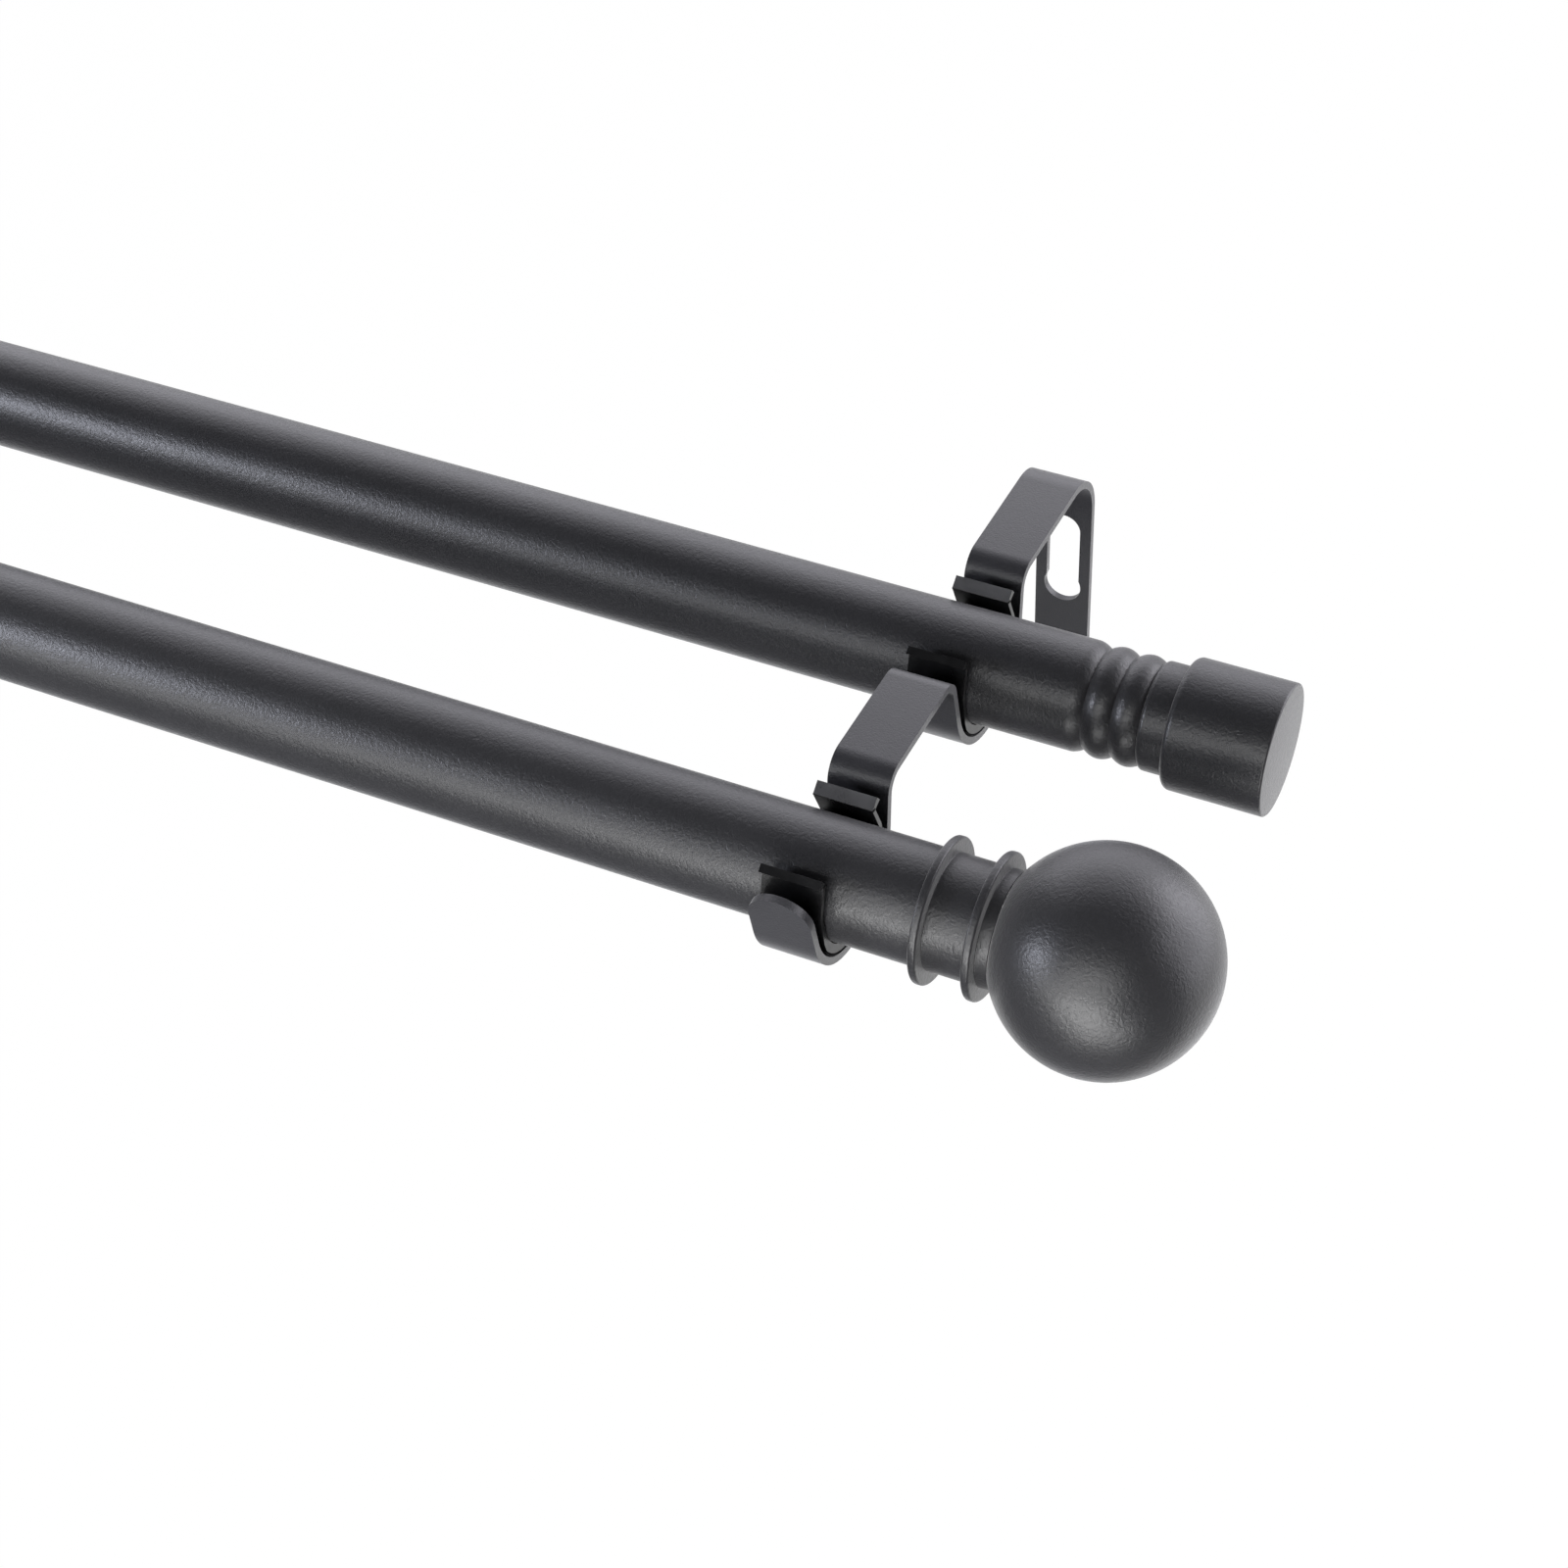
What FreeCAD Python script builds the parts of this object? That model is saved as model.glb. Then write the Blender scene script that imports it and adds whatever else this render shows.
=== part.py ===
import FreeCAD, Part
import math
import os
import Sketcher

# Double curtain pole: two round poles, one in front of the other, carried by two folded strip
# brackets, with a ball finial on each front pole end and a ribbed end cap on each rear pole end.
# X runs along the poles, +Y points into the wall and +Z is up. The origin lies on the wall, midway
# between the two brackets, level with the middle of their fixing slots. Lengths are in millimetres.

DRIVING = [
    ("pole_length", 1200.0, "cut length of each pole"),
    ("pole_diameter", 28.0, "outside diameter of both poles"),
    ("pole_wall", 1.0, "wall of the pole tube"),
    ("pole_to_wall", 71.5, "wall face to the axis of the rear pole"),
    ("pole_spacing", 80.5, "axis of the rear pole to axis of the front pole"),
    ("pole_rise", 18.6, "pole axes above the middle of the fixing slot"),
    ("bracket_inset", 25.5, "pole end to the middle of the bracket strip"),
    ("strip_width", 15.4, "width of the bracket strip"),
    ("strip_thickness", 2.0, "thickness of the bracket strip"),
    ("plate_drop", 30.0, "middle of the fixing slot to the lower end of the wall plate"),
    ("plate_bend", 13.2, "inside radius of the bend at the top of the wall plate"),
    ("arm_rise", 15.2, "top face of the arms above the pole axes"),
    ("arm_bend", 4.6, "inside radius where an arm turns down into a cradle"),
    ("cradle_room", 2.2, "space between clip and cradle beside the pole"),
    ("cradle_rear_lean", 5.6, "outward lean of the cradle's wall side, degrees"),
    ("cradle_front_lean", 12.0, "outward lean of the cradle's room side, degrees"),
    ("tongue_rise", 13.2, "rounded tip of the front cradle above the pole axis"),
    ("slot_length", 28.8, "overall height of the fixing slot"),
    ("slot_width", 9.2, "width of the upper run of the slot"),
    ("slot_foot_diameter", 10.4, "diameter of the wider foot of the slot"),
    ("clip_setback", 0.2, "how far each side of a clip stays inside the bracket strip"),
    ("clip_wall", 2.3, "wall of a clip"),
    ("clip_clearance", 0.3, "gap under a clip in its cradle"),
    ("seat_clearance", 0.3, "gap between a clip and its pole"),
    ("clip_lean", 15.0, "outward lean of a clip's lower walls, degrees"),
    ("clip_belly", 3.0, "height where the clip walls turn inward, above the pole axis"),
    ("clip_belly_radius", 5.0, "inside radius of that turn"),
    ("clip_throat", 12.1, "height of the crease under the lips, above the pole axis"),
    ("clip_rear_pinch", 23.5, "inward lean of the wall-side upper wall, degrees"),
    ("clip_front_pinch", 14.0, "inward lean of the room-side upper wall, degrees"),
    ("clip_lip_rise", 2.1, "height of the lips above the crease"),
    ("clip_rear_flare", 52.0, "outward lean of the wall-side lip, degrees"),
    ("clip_front_flare", 36.0, "outward lean of the room-side lip, degrees"),
    ("spigot_length", 24.0, "length of each finial spigot inside its pole"),
    ("spigot_clearance", 0.1, "radial gap between spigot and pole"),
    ("spigot_chamfer", 1.2, "lead-in at the inner end of the spigot"),
    ("neck_step", 0.05, "how far the front finial neck stays below the pole surface"),
    ("collar_diameter", 35.0, "diameter of the two thin collars on the front neck"),
    ("collar_width", 2.0, "width of a collar"),
    ("collar_rim_radius", 1.4, "rounding of a collar's rim"),
    ("collar_start", 3.0, "pole end to the first collar"),
    ("collar_pitch", 12.75, "first collar to second collar"),
    ("ball_diameter", 53.4, "diameter of the ball"),
    ("ball_wall", 1.6, "wall of the hollow ball"),
    ("ball_offset", 43.5, "pole end to the centre of the ball"),
    ("boss_diameter", 16.0, "boss for the stud inside the ball"),
    ("boss_length", 15.0, "length of that boss"),
    ("seam_chamfer", 0.5, "small chamfer where two turned pieces meet"),
    ("stud_diameter", 8.0, "joining stud"),
    ("stud_clearance", 0.05, "radial gap between stud and bore"),
    ("stud_grip", 12.0, "depth of the stud in each piece"),
    ("stud_end_room", 0.3, "space past each end of the stud"),
    ("shoulder_length", 7.1, "plain shoulder of the rear finial beside the pole"),
    ("first_groove", 10.7, "pole end to the first groove of the rear neck"),
    ("bead_pitch", 7.2, "groove to groove along the rear neck"),
    ("groove_depth", 1.45, "depth of the grooves below the pole surface"),
    ("waist_length", 6.9, "last groove to the seat of the end cap"),
    ("waist_step", 0.25, "how far the waist stays below the pole surface"),
    ("cap_diameter", 33.2, "diameter of the rear end cap"),
    ("cap_length", 25.7, "length of the rear end cap"),
    ("cap_back_radius", 1.8, "rounding of the cap's back edge"),
    ("cap_front_radius", 1.0, "rounding of the cap's outer edge"),
]

X_DIR = FreeCAD.Vector(1, 0, 0)
Z_DIR = FreeCAD.Vector(0, 0, 1)
# Sketch plane seen from +X: sketch right is +Y and sketch up is +Z.
SIDE_VIEW = FreeCAD.Rotation(FreeCAD.Vector(0, 1, 0), Z_DIR, X_DIR, "XYZ")
UPRIGHT = FreeCAD.Rotation()
ABOUT_FACE = FreeCAD.Rotation(Z_DIR, 180)
ALONG_Y = FreeCAD.Rotation(X_DIR, 90)

REAR_AXIS = "(-Dims.pole_to_wall)"
FRONT_AXIS = "(-Dims.pole_to_wall - Dims.pole_spacing)"
POLE_RADIUS = "(Dims.pole_diameter / 2)"
SEAT_RADIUS = "(Dims.pole_diameter / 2 + Dims.seat_clearance)"
CRADLE_RADIUS = "(Dims.pole_diameter / 2 + Dims.seat_clearance + Dims.clip_wall + Dims.cradle_room)"
CRADLE_LIFT = "(Dims.cradle_room - Dims.clip_clearance)"
ARM_TOP = "(Dims.pole_rise + Dims.arm_rise)"
BRACKET_X = "(Dims.pole_length / 2 - Dims.bracket_inset)"
BORE_RADIUS = "(Dims.stud_diameter / 2 + Dims.stud_clearance)"
SPIGOT_RADIUS = "(Dims.pole_diameter / 2 - Dims.pole_wall - Dims.spigot_clearance)"
CLIP_WIDTH = "(Dims.strip_width - Dims.clip_setback * 2)"

doc = FreeCAD.newDocument("double_curtain_pole")
sheet = doc.addObject("Spreadsheet::Sheet", "Dims")
for row, (alias, value, meaning) in enumerate(DRIVING, start=1):
    sheet.set("A%d" % row, alias)
    sheet.set("B%d" % row, str(value))
    sheet.setAlias("B%d" % row, alias)
    sheet.set("C%d" % row, meaning)
doc.recompute()

nodes = []


def worth(expression):
    """Number that an expression over the sheet gives now."""
    found = sheet.evalExpression(expression)
    return float(getattr(found, "Value", found))


def degrees(alias):
    return "(Dims.%s * 1 deg)" % alias


def tangent(alias):
    return "tan(%s)" % degrees(alias)


def origin_plane(body, role):
    return next(item for item in body.Origin.OriginFeatures if item.Role == role)


def bind(sketch, name, expression):
    sketch.setExpression("Constraints." + name, expression)


def keep_node(thing, label):
    thing.Label = label
    nodes.append(thing)
    return thing


# Closed profiles for turned pieces: every corner is tied to the sheet.

def arc_between(start, end, radius, turn):
    """Arc from start to end that bulges left of the way for turn +1 and right for turn -1."""
    chord = end.sub(start)
    middle = start.add(end).multiply(0.5)
    inset = math.sqrt(max(radius ** 2 - (chord.Length / 2) ** 2, 0.0))
    side = FreeCAD.Vector(-chord.y, chord.x, 0).normalize()
    centre = middle.sub(side.multiply(turn * inset))
    first = math.atan2(start.y - centre.y, start.x - centre.x)
    last = math.atan2(end.y - centre.y, end.x - centre.x)
    circle = Part.Circle(centre, Z_DIR, radius)
    if turn > 0:
        first, last = last, first
    return Part.ArcOfCircle(circle, first, last)


def closed_profile(body, role, name, corners):
    """Sketch on a plane of the body. Each corner is (x, y) or (x, y, radius, turn), where the
    last two describe the arc that leads to that corner from the one before it."""
    sketch = body.newObject("Sketcher::SketchObject", name)
    sketch.AttachmentSupport = [(origin_plane(body, role), "")]
    sketch.MapMode = "FlatFace"
    points = [FreeCAD.Vector(worth(corner[0]), worth(corner[1]), 0) for corner in corners]
    ends = []
    for index, corner in enumerate(corners):
        start = points[index - 1]
        end = points[index]
        if len(corner) == 2:
            sketch.addGeometry(Part.LineSegment(start, end), False)
            ends.append((1, 2))
        else:
            sketch.addGeometry(arc_between(start, end, worth(corner[2]), corner[3]), False)
            ends.append((2, 1) if corner[3] > 0 else (1, 2))
    for index, corner in enumerate(corners):
        following = (index + 1) % len(corners)
        here = ends[index][1]
        sketch.addConstraint(Sketcher.Constraint("Coincident", index, here, following, ends[following][0]))
        for kind, axis, expression in (("DistanceX", -2, corner[0]), ("DistanceY", -1, corner[1])):
            if expression == "0":
                sketch.addConstraint(Sketcher.Constraint("PointOnObject", index, here, axis))
                continue
            tie = Sketcher.Constraint(kind, -1, 1, index, here, worth(expression))
            number = sketch.addConstraint(tie)
            tie_name = "%s_%d" % (kind, index)
            sketch.renameConstraint(number, tie_name)
            bind(sketch, tie_name, expression)
        if len(corner) > 2:
            number = sketch.addConstraint(Sketcher.Constraint("Radius", index, worth(corner[2])))
            sketch.renameConstraint(number, "arc_%d" % index)
            bind(sketch, "arc_%d" % index, corner[2])
    return sketch


def turned(label, corners):
    """Body made by turning a closed profile about the X axis."""
    body = doc.addObject("PartDesign::Body", label)
    profile = closed_profile(body, "XZ_Plane", label + "_profile", corners)
    turn = body.newObject("PartDesign::Revolution", label + "_turned")
    turn.Profile = profile
    turn.ReferenceAxis = (profile, ["H_Axis"])
    turn.Angle = 360.0
    return keep_node(body, label)


def stand_at(thing, end, along, across):
    """Place a turned piece at one end of a pole: end +1 is the right end, -1 the left end."""
    thing.Placement = FreeCAD.Placement(FreeCAD.Vector(), UPRIGHT if end > 0 else ABOUT_FACE)
    sign = "" if end > 0 else "-"
    thing.setExpression("Placement.Base.x", "%s(Dims.pole_length / 2 + %s)" % (sign, along))
    thing.setExpression("Placement.Base.y", across)
    thing.setExpression("Placement.Base.z", "Dims.pole_rise")


# Open outlines of folded strip: straight runs joined by tangent arcs, then thickened.

def run_between(before, corner, after, radius):
    """Points where an arc of this radius leaves and meets the two runs at a corner, and its
    centre and turning sense."""
    into = corner.sub(before).normalize()
    out = after.sub(corner).normalize()
    turn = math.atan2(into.x * out.y - into.y * out.x, into.dot(out))
    reach = radius * math.tan(abs(turn) / 2)
    enter = corner.sub(FreeCAD.Vector(into).multiply(reach))
    leave = corner.add(FreeCAD.Vector(out).multiply(reach))
    side = 1 if turn > 0 else -1
    centre = enter.add(FreeCAD.Vector(-into.y, into.x, 0).multiply(side * radius))
    return enter, leave, centre, side


def bent_outline(name, corners):
    """Sketch of an open line. Each corner is (point, radius expression or None); None is sharp.
    Returns the sketch with the geometry numbers of its runs and of its bends."""
    sketch = doc.addObject("Sketcher::SketchObject", name)
    sketch.Placement = FreeCAD.Placement(FreeCAD.Vector(), SIDE_VIEW)
    runs = []
    bends = {}
    chain = []
    start = corners[0][0]
    for index in range(1, len(corners)):
        corner, radius = corners[index]
        if index == len(corners) - 1 or radius is None:
            chain.append((sketch.addGeometry(Part.LineSegment(start, corner), False), 1, 2))
            runs.append(chain[-1][0])
            start = corner
            continue
        after = corners[index + 1][0]
        enter, leave, centre, side = run_between(corners[index - 1][0], corner, after, worth(radius))
        chain.append((sketch.addGeometry(Part.LineSegment(start, enter), False), 1, 2))
        runs.append(chain[-1][0])
        circle = Part.Circle(centre, Z_DIR, worth(radius))
        angles = [math.atan2(point.y - centre.y, point.x - centre.x) for point in (enter, leave)]
        if side < 0:
            angles.reverse()
        number = sketch.addGeometry(Part.ArcOfCircle(circle, angles[0], angles[1]), False)
        chain.append((number, 1, 2) if side > 0 else (number, 2, 1))
        bends[index] = number
        start = leave
    for (first, _, first_end), (second, second_start, _) in zip(chain, chain[1:]):
        both_runs = first in runs and second in runs
        kind = "Coincident" if both_runs else "Tangent"
        sketch.addConstraint(Sketcher.Constraint(kind, first, first_end, second, second_start))
    for index, number in bends.items():
        tie = sketch.addConstraint(Sketcher.Constraint("Radius", number, worth(corners[index][1])))
        sketch.renameConstraint(tie, "bend_%d" % index)
        bind(sketch, "bend_%d" % index, corners[index][1])
    return sketch, runs, bends


def tie_point(sketch, name, kind, geometry, point, expression):
    """Hold one coordinate of a point, counted from the sketch origin."""
    value = worth(expression)
    ends = (-1, 1, geometry, point) if value >= 0 else (geometry, point, -1, 1)
    number = sketch.addConstraint(Sketcher.Constraint(kind, *ends, abs(value)))
    sketch.renameConstraint(number, name)
    bind(sketch, name, expression if value >= 0 else "-(%s)" % expression)


def tie_angle(sketch, name, run, expression):
    """Hold the direction of a run, counted from the sketch's horizontal axis."""
    angle = math.radians(worth(expression))
    number = sketch.addConstraint(Sketcher.Constraint("Angle", run, angle))
    sketch.renameConstraint(number, name)
    bind(sketch, name, expression)


def thickened(name, outline, thickness, width):
    """Solid strip: the outline thickened towards the left of its way, then given a width."""
    offset = doc.addObject("Part::Offset2D", name + "_section")
    offset.Source = outline
    offset.Mode = "Skin"
    offset.Join = "Intersection"
    offset.Fill = True
    offset.setExpression("Value", "-" + thickness)
    strip = doc.addObject("Part::Extrusion", name + "_strip")
    strip.Base = offset
    strip.DirMode = "Custom"
    strip.Dir = X_DIR
    strip.Solid = True
    strip.Symmetric = True
    strip.setExpression("LengthFwd", width)
    return strip


def cradle_line(side, axis, height):
    """Across-position, at a height above the pole axis, of the inner face of a cradle leg."""
    lean = math.radians(worth("Dims.cradle_rear_lean" if side > 0 else "Dims.cradle_front_lean"))
    reach = worth(CRADLE_RADIUS) + (height - worth(CRADLE_LIFT)) * math.sin(lean)
    return worth(axis) + side * reach / math.cos(lean)


def cradle_corner(axis):
    """Point below a cradle where the lines of its two legs would meet."""
    rear = math.radians(worth("Dims.cradle_rear_lean"))
    front = math.radians(worth("Dims.cradle_front_lean"))
    spread = math.tan(rear) + math.tan(front)
    depth = worth(CRADLE_RADIUS) * (1 / math.cos(rear) + 1 / math.cos(front)) / spread
    height = worth(CRADLE_LIFT) - depth
    return FreeCAD.Vector(cradle_line(1, axis, height), worth("Dims.pole_rise") + height, 0)


def bracket_outline(name):
    """Upper face of the strip from the foot of the wall plate to the tip of the front cradle."""
    arm = worth("Dims.arm_rise")
    rise = worth("Dims.pole_rise")
    tongue = worth("Dims.tongue_rise")
    outer_plate = "Dims.plate_bend + Dims.strip_thickness"
    outer_arm = "Dims.arm_bend + Dims.strip_thickness"
    corners = [
        (FreeCAD.Vector(0, -worth("Dims.plate_drop"), 0), None),
        (FreeCAD.Vector(0, rise + arm, 0), outer_plate),
        (FreeCAD.Vector(cradle_line(1, REAR_AXIS, arm), rise + arm, 0), outer_arm),
        (cradle_corner(REAR_AXIS), CRADLE_RADIUS),
        (FreeCAD.Vector(cradle_line(-1, REAR_AXIS, arm), rise + arm, 0), outer_arm),
        (FreeCAD.Vector(cradle_line(1, FRONT_AXIS, arm), rise + arm, 0), outer_arm),
        (cradle_corner(FRONT_AXIS), CRADLE_RADIUS),
        (FreeCAD.Vector(cradle_line(-1, FRONT_AXIS, tongue), rise + tongue, 0), None),
    ]
    sketch, runs, bends = bent_outline(name + "_outline", corners)
    sketch.addConstraint(Sketcher.Constraint("Vertical", runs[0]))
    sketch.addConstraint(Sketcher.Constraint("Horizontal", runs[1]))
    sketch.addConstraint(Sketcher.Constraint("Horizontal", runs[4]))
    sketch.addConstraint(Sketcher.Constraint("PointOnObject", runs[0], 1, -2))
    tie_point(sketch, "plate_foot", "DistanceY", runs[0], 1, "-Dims.plate_drop")
    tie_point(sketch, "rear_arm_top", "DistanceY", runs[1], 1, ARM_TOP)
    tie_point(sketch, "front_arm_top", "DistanceY", runs[4], 1, ARM_TOP)
    tie_point(sketch, "tongue_tip", "DistanceY", runs[6], 2, "Dims.pole_rise + Dims.tongue_rise")
    for label, bend, axis in (("rear", bends[3], REAR_AXIS), ("front", bends[6], FRONT_AXIS)):
        tie_point(sketch, label + "_cradle_y", "DistanceX", bend, 3, axis)
        tie_point(sketch, label + "_cradle_z", "DistanceY", bend, 3, "Dims.pole_rise + " + CRADLE_LIFT)
    down = "-90 deg - " + degrees("cradle_rear_lean")
    up = "90 deg + " + degrees("cradle_front_lean")
    for label, run, direction in (("rear_down", 2, down), ("rear_up", 3, up), ("front_down", 5, down),
                                  ("front_up", 6, up)):
        tie_angle(sketch, label, runs[run], direction)
    return sketch


def cylinder_along_y(name, radius, length, across, height):
    """Cylinder that runs towards -Y from its placed end."""
    cylinder = doc.addObject("Part::Cylinder", name)
    cylinder.Placement = FreeCAD.Placement(FreeCAD.Vector(), ALONG_Y)
    cylinder.setExpression("Radius", radius)
    cylinder.setExpression("Height", length)
    cylinder.setExpression("Placement.Base.y", across)
    cylinder.setExpression("Placement.Base.z", height)
    return cylinder


def box(name, sizes, corner):
    block = doc.addObject("Part::Box", name)
    for side, expression in zip(("Length", "Width", "Height"), sizes):
        block.setExpression(side, expression)
    for axis, expression in zip("xyz", corner):
        block.setExpression("Placement.Base." + axis, expression)
    return block


def slot_cutter(name):
    """Upright slot with a wider round foot, cut through the wall plate."""
    depth = "Dims.strip_thickness * 3"
    back = "Dims.strip_thickness"
    top = "Dims.slot_length / 2 - Dims.slot_width / 2"
    foot = "(Dims.slot_foot_diameter / 2 - Dims.slot_length / 2)"
    head = cylinder_along_y(name + "_head", "Dims.slot_width / 2", depth, back, top)
    base = cylinder_along_y(name + "_base", "Dims.slot_foot_diameter / 2", depth, back, foot)
    run = box(name + "_run", ("Dims.slot_width", depth, "%s - %s" % (top, foot)),
              ("-Dims.slot_width / 2", "-Dims.strip_thickness * 2", foot))
    cutter = doc.addObject("Part::MultiFuse", name)
    cutter.Shapes = [head, base, run]
    return cutter


def tongue_cutter(name):
    """What a half-round tip leaves over above the end of the front cradle."""
    reach = "(%s + Dims.strip_thickness * 3)" % CRADLE_RADIUS
    centre = "(Dims.pole_rise + Dims.tongue_rise - Dims.strip_width / 2)"
    margin = "Dims.strip_width * 2"
    start = "%s - %s" % (FRONT_AXIS, reach)
    depth = "(%s - Dims.clip_wall)" % reach
    block = box(name + "_block", (margin, depth, "Dims.strip_width"), ("-Dims.strip_width", start, centre))
    rounding = cylinder_along_y(name + "_rounding", "Dims.strip_width / 2", depth,
                                "%s + %s" % (start, depth), centre)
    cutter = doc.addObject("Part::Cut", name)
    cutter.Base = block
    cutter.Tool = rounding
    return cutter


def bracket(label, end):
    outline = bracket_outline(label)
    strip = thickened(label, outline, "Dims.strip_thickness", "Dims.strip_width")
    cutters = doc.addObject("Part::MultiFuse", label + "_cutters")
    cutters.Shapes = [slot_cutter(label + "_slot"), tongue_cutter(label + "_tongue")]
    plate = doc.addObject("Part::Cut", label)
    plate.Base = strip
    plate.Tool = cutters
    plate.setExpression("Placement.Base.x", BRACKET_X if end > 0 else "-" + BRACKET_X)
    return keep_node(plate, label)


def clip_outline(name):
    """Inner face of a clip from the wall-side lip, round under the pole, to the room-side lip."""
    lean = math.radians(worth("Dims.clip_lean"))
    seat = worth(SEAT_RADIUS)
    belly = worth("Dims.clip_belly")
    throat = worth("Dims.clip_throat")
    tip = throat + worth("Dims.clip_lip_rise")
    wide = (seat + belly * math.sin(lean)) / math.cos(lean)
    halves = {}
    for side in ("rear", "front"):
        narrow = wide - (throat - belly) * worth(tangent("clip_%s_pinch" % side))
        flared = narrow + (tip - throat) * worth(tangent("clip_%s_flare" % side))
        halves[side] = (narrow, flared)
    corners = [
        (FreeCAD.Vector(halves["rear"][1], tip, 0), None),
        (FreeCAD.Vector(halves["rear"][0], throat, 0), None),
        (FreeCAD.Vector(wide, belly, 0), "Dims.clip_belly_radius"),
        (FreeCAD.Vector(0, -seat / math.sin(lean), 0), SEAT_RADIUS),
        (FreeCAD.Vector(-wide, belly, 0), "Dims.clip_belly_radius"),
        (FreeCAD.Vector(-halves["front"][0], throat, 0), None),
        (FreeCAD.Vector(-halves["front"][1], tip, 0), None),
    ]
    sketch, runs, bends = bent_outline(name + "_outline", corners)
    sketch.addConstraint(Sketcher.Constraint("Coincident", bends[3], 3, -1, 1))
    tie_point(sketch, "rear_throat", "DistanceY", runs[0], 2, "Dims.clip_throat")
    tie_point(sketch, "front_throat", "DistanceY", runs[4], 2, "Dims.clip_throat")
    tie_point(sketch, "rear_tip", "DistanceY", runs[0], 1, "Dims.clip_throat + Dims.clip_lip_rise")
    tie_point(sketch, "front_tip", "DistanceY", runs[5], 2, "Dims.clip_throat + Dims.clip_lip_rise")
    directions = (
        ("rear_flare", 0, "-90 deg - " + degrees("clip_rear_flare")),
        ("rear_pinch", 1, "-90 deg + " + degrees("clip_rear_pinch")),
        ("rear_wall", 2, "-90 deg - " + degrees("clip_lean")),
        ("front_wall", 3, "90 deg + " + degrees("clip_lean")),
        ("front_pinch", 4, "90 deg - " + degrees("clip_front_pinch")),
        ("front_flare", 5, "90 deg + " + degrees("clip_front_flare")),
    )
    for label, run, direction in directions:
        tie_angle(sketch, label, runs[run], direction)
    # The belly corner is held by the place of each turn's centre above the pole axis.
    for label, bend, pinch in (("rear_belly", bends[2], "clip_rear_pinch"),
                               ("front_belly", bends[4], "clip_front_pinch")):
        half_turn = "((%s + %s) / 2)" % (degrees("clip_lean"), degrees(pinch))
        half_gap = "((%s - %s) / 2)" % (degrees("clip_lean"), degrees(pinch))
        drop = "Dims.clip_belly_radius / cos(%s) * sin(%s)" % (half_turn, half_gap)
        tie_point(sketch, label, "DistanceY", bend, 3, "Dims.clip_belly - " + drop)
    return sketch


def clip(label, end, axis):
    outline = clip_outline(label)
    shell = thickened(label, outline, "Dims.clip_wall", CLIP_WIDTH)
    shell.setExpression("Placement.Base.x", BRACKET_X if end > 0 else "-" + BRACKET_X)
    shell.setExpression("Placement.Base.y", axis)
    shell.setExpression("Placement.Base.z", "Dims.pole_rise")
    return keep_node(shell, label)


def pole(label, axis):
    """Plain tube, cut square at both ends."""
    body = doc.addObject("PartDesign::Body", label)
    ring = body.newObject("Sketcher::SketchObject", label + "_ring")
    ring.AttachmentSupport = [(origin_plane(body, "YZ_Plane"), "")]
    ring.MapMode = "FlatFace"
    for name, radius in (("outside", POLE_RADIUS), ("inside", POLE_RADIUS + " - Dims.pole_wall")):
        circle = ring.addGeometry(Part.Circle(FreeCAD.Vector(), Z_DIR, worth(radius)), False)
        ring.addConstraint(Sketcher.Constraint("Coincident", circle, 3, -1, 1))
        number = ring.addConstraint(Sketcher.Constraint("Radius", circle, worth(radius)))
        ring.renameConstraint(number, name)
        bind(ring, name, radius)
    tube = body.newObject("PartDesign::Pad", label + "_tube")
    tube.Profile = ring
    tube.Midplane = True
    tube.setExpression("Length", "Dims.pole_length")
    body.setExpression("Placement.Base.y", axis)
    body.setExpression("Placement.Base.z", "Dims.pole_rise")
    return keep_node(body, label)


# Turned pieces are drawn with x = 0 at the inner end of the spigot, so the pole end is at
# x = spigot_length.

def spigot_corners():
    """From the axis over the inner end of a spigot and along it to the pole end."""
    return [
        ("0", "0"),
        ("0", SPIGOT_RADIUS + " - Dims.spigot_chamfer"),
        ("Dims.spigot_chamfer", SPIGOT_RADIUS),
        ("Dims.spigot_length", SPIGOT_RADIUS),
    ]


def bore_corners(face):
    """From the face of a turned piece into its blind stud bore and back to the axis."""
    depth = "(%s - Dims.stud_grip - Dims.stud_end_room)" % face
    return [(face, BORE_RADIUS), (depth, BORE_RADIUS), (depth, "0")]


NECK_RADIUS = "(Dims.pole_diameter / 2 - Dims.neck_step)"
SEAT_REACH = "sqrt((Dims.ball_diameter / 2) ^ 2 - %s ^ 2)" % NECK_RADIUS
BALL_SEAT = "(Dims.spigot_length + Dims.ball_offset - %s)" % SEAT_REACH
CAP_SEAT = "(Dims.spigot_length + Dims.first_groove + Dims.bead_pitch * 2 + Dims.waist_length)"


def front_neck(label, end):
    """Turned neck with two thin collars, a spigot for the pole and a blind bore for the stud."""
    rim_bulge = "(Dims.collar_rim_radius - sqrt(Dims.collar_rim_radius ^ 2 - (Dims.collar_width / 2) ^ 2))"
    rim = "(Dims.collar_diameter / 2 - %s)" % rim_bulge
    corners = spigot_corners() + [("Dims.spigot_length", POLE_RADIUS)]
    for number, before in enumerate((POLE_RADIUS, NECK_RADIUS)):
        start = "Dims.spigot_length + Dims.collar_start + Dims.collar_pitch * %d" % number
        finish = start + " + Dims.collar_width"
        corners += [(start, before), (start, rim), (finish, rim, "Dims.collar_rim_radius", 1),
                    (finish, NECK_RADIUS)]
    corners += [(BALL_SEAT + " - Dims.seam_chamfer", NECK_RADIUS),
                (BALL_SEAT, NECK_RADIUS + " - Dims.seam_chamfer")]
    corners += bore_corners(BALL_SEAT)
    piece = turned(label, corners)
    stand_at(piece, end, "-Dims.spigot_length", FRONT_AXIS)
    return piece


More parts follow.
